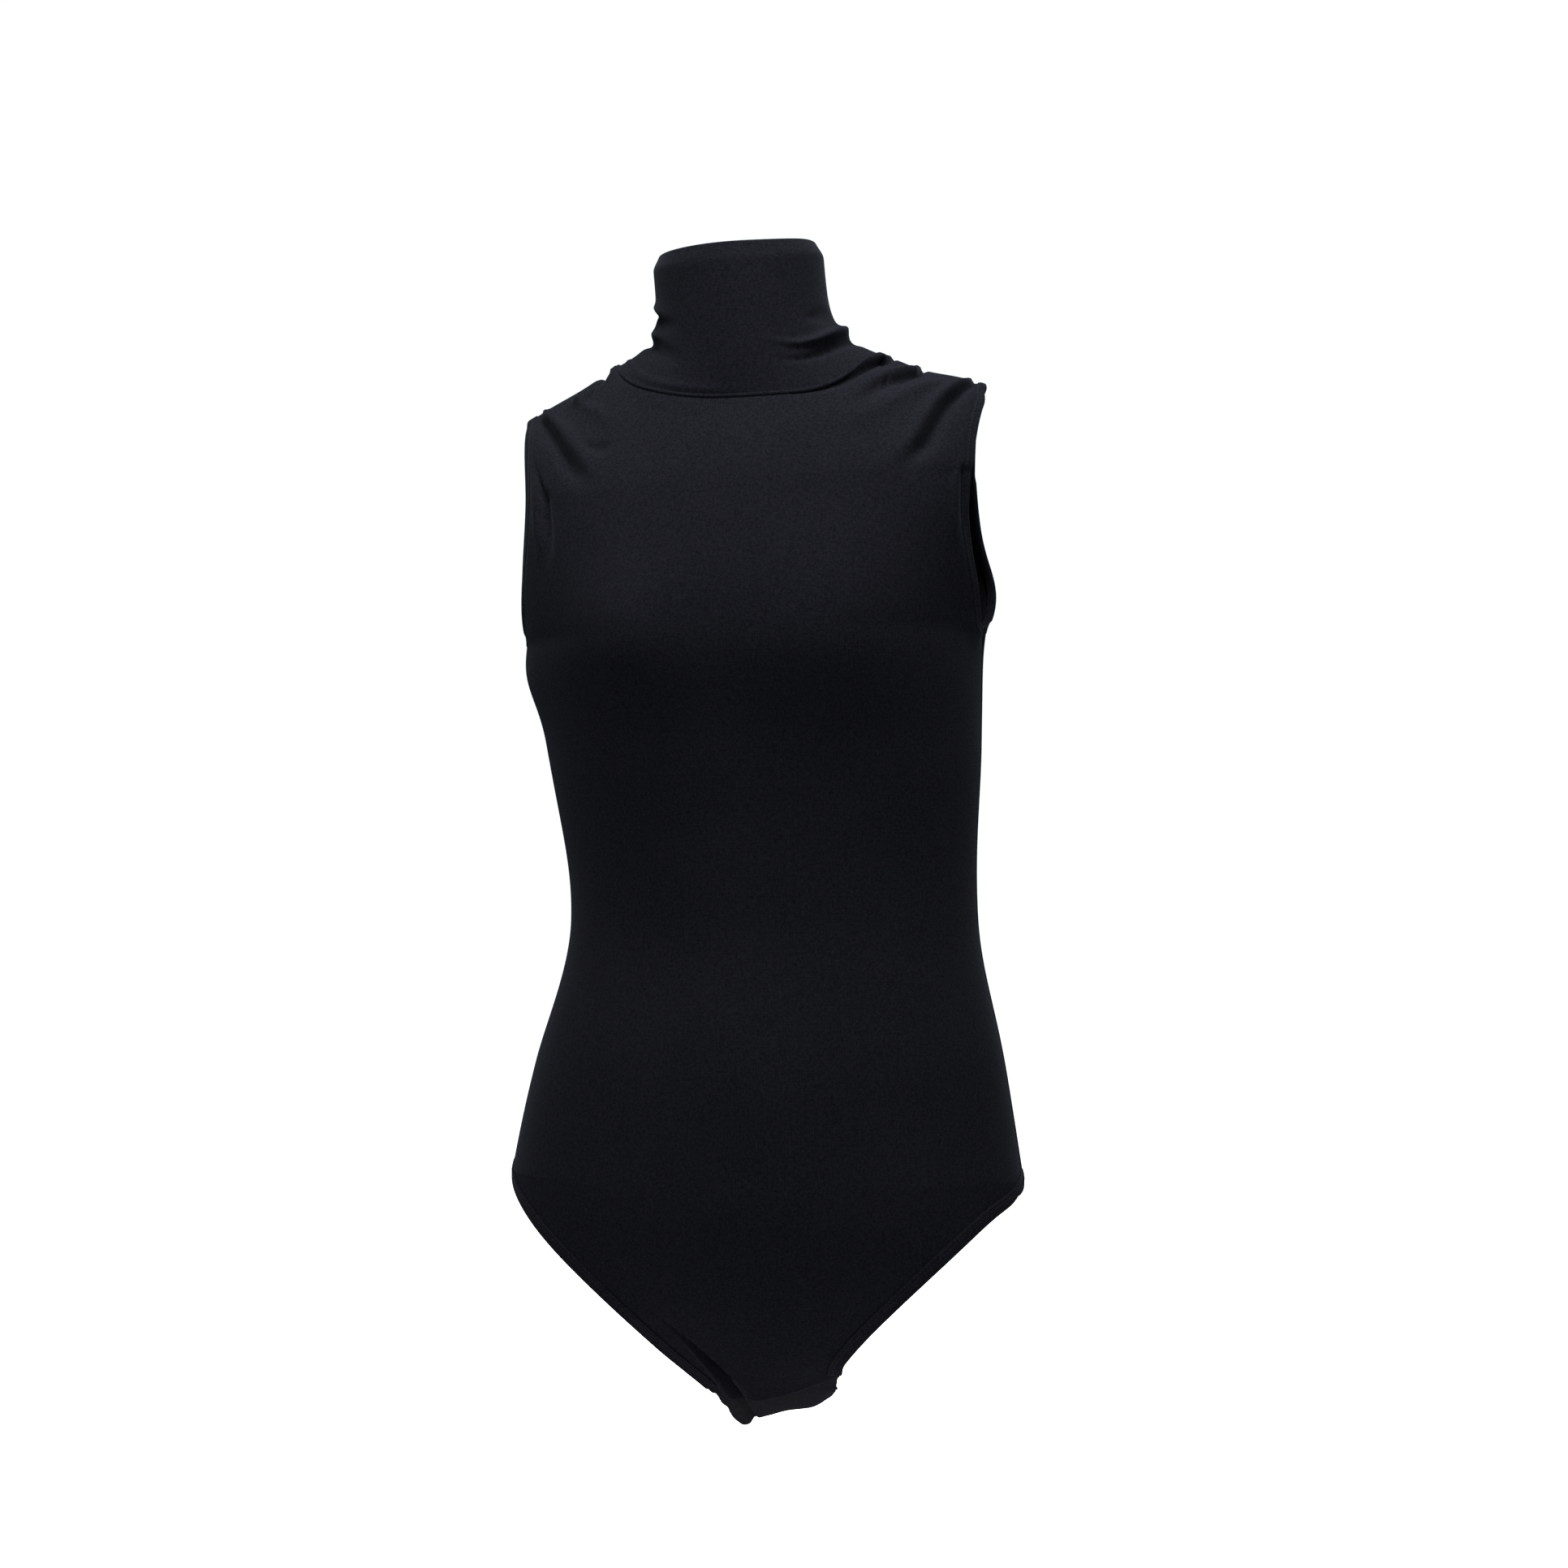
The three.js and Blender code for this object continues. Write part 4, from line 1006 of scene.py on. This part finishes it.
def add_hem(tree, name, side, path, width, needles, closed):
    """A strip folded over an opening's edge, its stitches, and the elastic inside it."""
    rings = np.stack([lay(tree, path, b, c) for b, c in hem_section(width)], 1)
    hem = sweep(f"{name}_hem_{side}_cloth", rings, JERSEY_CLOTH, closed)
    settle(hem, "garment", "jersey", f"{name}_hem_{side}")
    rows = stitch_rows(tree, f"{name}_stitches_{side}", path, needles)
    settle(rows, "garment", "thread")
    near, far = 0.6, width - 1.5
    section = ((near, ELASTIC_TOP), (far, ELASTIC_TOP), (far, ELASTIC_BOTTOM), (near, ELASTIC_BOTTOM))
    rings = np.stack([lay(tree, path, b, c) for b, c in section], 1)
    band = sweep(f"{name}_elastic_{side}_band", rings, ELASTIC_TAPE, closed)
    settle(band, "garment", "elastic", f"{name}_elastic_{side}")


def add_openings(tree):
    underarm = 1 + (UNDERARM - CHEST) / (HIP - CHEST)
    arm_rows = np.concatenate([np.linspace(0, 1, 60)[1:], np.linspace(1, underarm, 60)[1:-1]])
    leg_rows = 2 + np.linspace(0, 1, 130)[1:-1] ** 1.3
    leg_rows = leg_rows[leg_rows < 3 - HEM_GAP]
    arm_line = [
        (FRONT, np.array([underarm])), (FRONT, arm_rows[::-1]), (FRONT, np.array([0.0])), (BACK, arm_rows),
    ]
    leg_line = [(FRONT, leg_rows[::-1]), (FRONT, np.array([2.0])), (BACK, leg_rows)]
    for sign, side in ((-1, "right"), (1, "left")):
        add_hem(tree, "arm", side, opening_path(arm_line, sign, True), ARM_HEM, ARM_NEEDLES, True)
        add_hem(tree, "leg", side, opening_path(leg_line, sign, False), LEG_HEM, LEG_NEEDLES, False)


# ------------ collar

COLLAR_PLY_GAP = 0.9


def add_collar():
    """Two plies of jersey in one strip, folded at the top and caught in the neck seam."""
    turns = np.linspace(0, 2 * math.pi, 240, endpoint=False)
    heights = np.linspace(0.0, 1.0, 64)
    ply, middle = JERSEY, JERSEY + COLLAR_PLY_GAP / 2
    roll = middle / (COLLAR_TOP - NECK_SIDE)

    def face(depth, ts):
        t, turn = np.meshgrid(ts, turns)
        p, normal = collar_surface(turn, t)
        return p - depth * normal

    def fold(radius):
        p, normal = collar_surface(turns, np.full_like(turns, 1 - roll))
        top, _ = collar_surface(turns, np.ones_like(turns))
        up = unit(top - p)
        return np.stack([
            p - middle * normal + radius * (math.cos(a) * normal + math.sin(a) * up)
            for a in np.linspace(0, math.pi, 8)[1:-1]
        ], 1)

    up_to_fold = heights * (1 - roll)
    down = up_to_fold[::-1]
    outside = np.concatenate([face(0, up_to_fold), fold(middle), face(2 * middle, down)], 1)
    inside = np.concatenate([face(ply, up_to_fold), fold(middle - ply), face(2 * middle - ply, down)], 1)
    rings = np.concatenate([outside, inside[:, ::-1]], 1)
    collar = sweep("collar_cloth", rings, JERSEY_CLOTH, closed=True)
    settle(collar, "garment", "jersey", "collar")
    round_neck = run_length(face(0, np.array([0.8]))[:, 0])


def neck_line():
    turns = np.linspace(0, 2 * math.pi, 300, endpoint=False)
    p, _ = collar_surface(turns, np.zeros_like(turns))
    along = unit(np.roll(p, -1, 0) - np.roll(p, 1, 0))
    out = unit(points(np.sin(turns), -np.cos(turns), 0 * turns))
    return p, out, unit(np.cross(out, along)), along


def add_neck_seam():
    """The overlocked join of collar and body, felt as a narrow cord under the cloth."""
    ring = cord_ring(neck_line(), -0.5, 1.5, 1.2, 0.05, 12)
    seam = sweep("neck_seam_cord", ring, JERSEY_CLOTH, closed=True)
    settle(seam, "garment", "thread", "neck_seam")


# ------------ seams, linings and labels inside

def seam_path(stations):
    """A path inside the line where front and back meet."""
    p, normal = cloth_surface(FRONT, *stations)
    _, other = cloth_surface(BACK, *stations)
    normal = unit(normal + other)
    along = unit(np.gradient(p, axis=0))
    normal = square_to(normal, along)
    return p, normal, unit(np.cross(normal, along)), along


LINING_TOP = 3 - 110 / 190
CARE_LABEL_TOP = 1 + (HIP + 108 - CHEST) / (HIP - CHEST)
CARE_LABEL_ROWS = 40 / (CHEST - HIP)
LABEL_DEPTH = 3.4


def add_inner_seams():
    side_rows = np.linspace(1.24, 1.96, 420)
    shoulder = np.linspace(0.60, 0.93, 60)
    for side, name in ((-1, "right"), (1, "left")):
        path = seam_path((np.full_like(side_rows, side), side_rows))
        allowance = sweep(f"side_overlock_{name}", cord_ring(path, -2.6, 3.0, 0.7, 0.12), THREAD)
        settle(allowance, "garment", "thread", f"side_seam_{name}")
        path = seam_path((side * shoulder, np.zeros_like(shoulder)))
        allowance = sweep(f"shoulder_overlock_{name}", cord_ring(path, -2.4, 3.0, 0.6, 0.12), THREAD)
        settle(allowance, "garment", "thread", f"shoulder_seam_{name}")
        stay = sweep(f"shoulder_tape_{name}", cord_ring(path, -3.4, 2.6, 0.22), STAY_TAPE)
        settle(stay, "garment", "stay_tape", f"shoulder_stay_{name}")


def add_linings():
    rows = np.linspace(LINING_TOP, BOTTOM_ROW - 0.01, 60)
    columns = np.linspace(-0.68, 0.68, 41)
    for half, side in ((FRONT, "front"), (BACK, "back")):
        lining = layer(f"{side}_lining", half, rows, columns, JERSEY + 0.5, 0.6, LINING_CLOTH)
        settle(lining, "garment", "lining", f"{side}_gusset")
        widest = panel_grid(half, rows[:1], columns, 0)[0]
        middle = panel_grid(half, rows, np.zeros(1), 0)[:, 0]


def add_labels():
    care_rows = np.linspace(CARE_LABEL_TOP, CARE_LABEL_TOP + CARE_LABEL_ROWS, 24)
    for name, columns, rows in (
        ("care_label", np.linspace(0.9, 0.98, 12), care_rows),
        ("size_label", np.linspace(-0.09, 0.09, 20), np.linspace(0.14, 0.34, 16)),
    ):
        tape = layer(f"{name}_tape", BACK, rows, columns, LABEL_DEPTH, 0.4, LABEL_TAPE)
        settle(tape, "garment", "label", name)
        wide = panel_grid(BACK, rows[:1], columns, LABEL_DEPTH)[0]
        tall = panel_grid(BACK, rows, columns[:1], LABEL_DEPTH)[:, 0]


# ------------ crotch tabs and press studs

TAB_LAP = corner("front_tab", 1).y / MM
FLAT_START = 13
TAB = 1.6
TAB_TOP = 2.87
TAB_TUCK = 2.0
TAB_SAG = 4.2
CREASE_DEPTH = 3.4
BINDING = 0.9
TAPE_START = 25
STUD_HOLE = 2.1


def tab_path(half, count=26):
    """The outer face of a tab from its seam to its free end, in the plane of Y and Z."""
    seam = np.array([half.facing * TAB_SEAM_DEPTH, half.seam])
    flat_level = CLOSURE if half is FRONT else BACK_FLAT
    bend = np.array([half.facing * (FLAT_START + 5), flat_level])
    flat = np.array([half.facing * FLAT_START, flat_level])
    t = np.linspace(0, 1, count)[:, None]
    curve = (1 - t) ** 2 * seam + 2 * (1 - t) * t * bend + t**2 * flat
    free = np.array([-half.facing * TAB_LAP, flat_level])
    lap = mix(flat, free, np.linspace(0, 1, 18)[1:, None])
    return np.concatenate([curve, lap])


ACROSS = np.sin(np.linspace(-math.pi / 2, math.pi / 2, 61))


def pull_in(run, rounded):
    """How much narrower a strip is towards its free end, so that its corners are round."""
    left = np.maximum(rounded - (run[-1] - run), 0)
    return rounded - np.sqrt(np.maximum(rounded**2 - left**2, 0))


def strip_faces(half, half_wide, offset, thickness, start, rounded):
    """The outer and inner faces of a strip along a tab's path, its long edges rounded."""
    path = tab_path(half)[start:]
    along = unit(np.gradient(path, axis=0))
    inward = np.stack([half.facing * along[:, 1], -half.facing * along[:, 0]], 1)
    run = run_of(path)
    x = CROTCH_X + ACROSS * (half_wide - pull_in(run, rounded))[:, None]
    edge = np.sqrt(np.maximum(1 - np.abs(ACROSS) ** 14, 0))
    faces = []
    for side in (-1, 1):
        depth = offset + thickness / 2 * (1 + side * edge)
        flat = points(x, path[:, :1] + inward[:, :1] * depth, path[:, 1:] + inward[:, 1:] * depth)
        faces.append(crotch_pull(flat))
    return faces


def tab_cloth(half):
    """A tab caught under the panel's curved lower edge, with its edges bound like the leg hems."""
    outer, inner = strip_faces(half, CROTCH_HALF_WIDTH, 0, TAB, 0, 5.0)
    u, v = np.meshgrid(ACROSS, np.linspace(TAB_TOP, 2.992, 22)[:-1])
    p, normal = worn(half, u, v), worn_normal(half, u, v)
    tuck = TAB_TUCK * smoothstep(2.99, 2.94, v)[..., None]
    root_outer, root_inner = p - tuck * normal, p - (tuck + TAB) * normal
    outer, inner = np.concatenate([root_outer, outer[1:]]), np.concatenate([root_inner, inner[1:]])
    for _ in range(3):
        outer[1:-1], inner[1:-1] = ((f[:-2] + 2 * f[1:-1] + f[2:]) / 4 for f in (outer, inner))
    binding = BINDING * smoothstep(0.80, 0.92, np.abs(ACROSS)) * np.sqrt(1 - np.abs(ACROSS) ** 20)
    away = unit(outer - inner)
    rows = np.linspace(0, 1, len(outer))[:, None]
    lift = binding * smoothstep(0.0, 0.2, rows) + 0.3 * np.sin(9 * ACROSS + 4 * rows)
    sag, fold = 0 * lift, 0 * lift
    if half is FRONT:
        sag = TAB_SAG * bump(ACROSS + 0.66, 0.26) * bump(rows - 0.62, np.where(rows < 0.62, 0.2, 0.12))
        line = mix(-0.58, -0.45, smoothstep(0.1, 0.7, rows))
        fold = CREASE_DEPTH * bump(ACROSS - line, 0.055) * smoothstep(0.85, 0.7, rows)
    fall = points(0, 0, 1) * sag[..., None]
    outer = outer + away * (lift - fold)[..., None] - fall
    inner = inner - away * fold[..., None] - fall
    return np.concatenate([outer, inner[:, ::-1]], 1)


def add_tabs():
    for half, side in ((FRONT, "front"), (BACK, "back")):
        rings = tab_cloth(half)
        # The tab strips get the lighter jersey, and its extra lightness is painted floor light.
        strip = sweep(f"{side}_tab_cloth", rings, FLOOR_LIT_TAB_CLOTH)
        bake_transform(strip)
        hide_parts(f"{side}_tab")


def seated(p, x):
    """Moves a stud with the crotch under it, and leans it the same way."""
    reach = 4
    right, left = (crotch_pull(points(x + d, 0, CLOSURE)) for d in (-reach, reach))
    middle = (left + right) / 2
    lean = (left[2] - right[2]) / (2 * reach)
    return p + points(middle[0] - x, 0, middle[2] - CLOSURE + lean * (p[..., 0] - x))


def lathe(name, profile, x, segments=40):
    """A turned metal piece from its closed [radius, height] profile, standing on the crotch line."""
    radius, height = np.array(profile, float).T
    rings = np.stack([
        points(x + radius * math.cos(a), radius * math.sin(a), height)
        for a in np.linspace(0, 2 * math.pi, segments, endpoint=False)
    ])
    return sweep(name, seated(rings, x), STUD_METAL, closed=True)


def rounded_rim(inner, outer, low, high, radius, steps=5):
    """A washer's section with every corner rounded."""
    section = []
    for centre_r, centre_z, start in (
        (outer - radius, low + radius, -90), (outer - radius, high - radius, 0),
        (inner + radius, high - radius, 90), (inner + radius, low + radius, 180),
    ):
        for a in np.radians(np.linspace(start, start + 90, steps)):
            section.append((centre_r + radius * math.cos(a), centre_z + radius * math.sin(a)))
    return section


def add_stud_part(part, i, flap):
    """One piece of a stud. The caps and back rings are thin, and a post is a disc with a pin under it."""
    node = f"stud_{part}_{i}"
    low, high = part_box(node)
    x = (low.x + high.x) / 2 / MM
    radius = (high.x - low.x) / 2 / MM
    bottom, top = low.z / MM, high.z / MM
    inner, low_rim, high_rim, rounding = {
        "cap": (STUD_HOLE, bottom, bottom + 0.8, 0.35),
        "socket": (STUD_HOLE, bottom, top, 0.5),
        "post": (0.02, top - 0.7, top, 0.3),
        "ring": (STUD_HOLE, top - 0.8, top, 0.35),
    }[part]
    section = rounded_rim(inner, radius, low_rim, high_rim, rounding)
    settle(lathe(f"{node}_metal", section, x), flap, "stud_metal", node)
    if part == "post":
        pin = rounded_rim(0.02, 1.6, bottom, top - 0.5, 0.5)
        settle(lathe(f"{node}_pin", pin, x), flap, "stud_metal")


def add_studs():
    """Ring snaps: a cap ring and a socket on the front tab, a post and a back ring on the back tab."""
    count = len([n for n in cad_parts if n.startswith("stud_post_")])
    for i in range(1, count + 1):
        for part in ("cap", "socket"):
            add_stud_part(part, i, "front_flap")
        for part in ("post", "ring"):
            add_stud_part(part, i, "back_flap")


def add_tapes():
    for half, side, face in ((FRONT, "front", CLOSURE), (BACK, "back", BACK_FLAT)):
        low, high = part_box(f"{side}_tape")
        outer, inner = strip_faces(
            half, CROTCH_HALF_WIDTH - 2, low.z / MM - face, (high.z - low.z) / MM, TAPE_START, 2.0
        )
        strip = sweep(f"{side}_stud_tape", np.concatenate([outer, inner[:, ::-1]], 1), LINING_CLOTH)
        settle(strip, f"{side}_flap", "lining", f"{side}_tape")


# ------------ studio

def add_floor():
    low = cad_box[0]
    bpy.ops.mesh.primitive_plane_add(size=24, location=(0, 0, low.z - 0.12))
    floor = bpy.context.object
    floor.name = "studio_floor"
    floor.data.materials.append(floor_material())


def add_light(name, size, power, place, target, color):
    data = bpy.data.lights.new(name, "AREA")
    data.shape = "RECTANGLE"
    data.size, data.size_y = size
    data.energy = power
    data.color = color
    light = bpy.data.objects.new(name, data)
    light.location = place
    light.rotation_euler = (Vector(target) - Vector(place)).to_track_quat("-Z", "Y").to_euler()
    bpy.context.scene.collection.objects.link(light)


def add_studio():
    world = bpy.data.worlds.new("studio")
    world.use_nodes = True
    world.node_tree.nodes["Background"].inputs["Color"].default_value = (0.95, 0.98, 1.0, 1.0)
    world.node_tree.nodes["Background"].inputs["Strength"].default_value = 1.06
    bpy.context.scene.world = world
    bpy.context.scene.view_settings.view_transform = "Standard"
    chest = (0, 0, CHEST * MM)
    warm = (1.0, 0.97, 0.93)
    add_light("key", (0.7, 0.4), 120, (0.04, -0.42, 0.92), chest, warm)
    add_light("top", (1.0, 0.8), 22, (0.1, 0.35, 1.1), chest, warm)


VIEW_AZIMUTH = math.radians(10)
VIEW_DISTANCE = 2.1
VIEW_WIDTH = 0.9853
VIEW_ASIDE = 0.0184
VIEW_LEVEL = -0.2647


def add_camera():
    """Seen almost from the front, a little from the wearer's left, at mid-height."""
    sine, cosine = math.sin(VIEW_AZIMUTH), math.cos(VIEW_AZIMUTH)
    target = Vector((VIEW_ASIDE * cosine, VIEW_ASIDE * sine, VIEW_LEVEL))
    data = bpy.data.cameras.new("camera")
    data.sensor_width = 36
    data.lens = 36 * VIEW_DISTANCE / VIEW_WIDTH
    camera = bpy.data.objects.new("camera", data)
    camera.location = target + VIEW_DISTANCE * Vector((sine, -cosine, 0))
    camera.rotation_euler = (target - camera.location).to_track_quat("-Z", "Y").to_euler()
    bpy.context.scene.collection.objects.link(camera)
    bpy.context.scene.camera = camera


add_camera()
add_studio()
add_floor()
add_collar()
add_neck_seam()
add_panels()
add_openings(cloth_tree())
add_inner_seams()
add_linings()
add_labels()
add_tabs()
add_tapes()
add_studs()
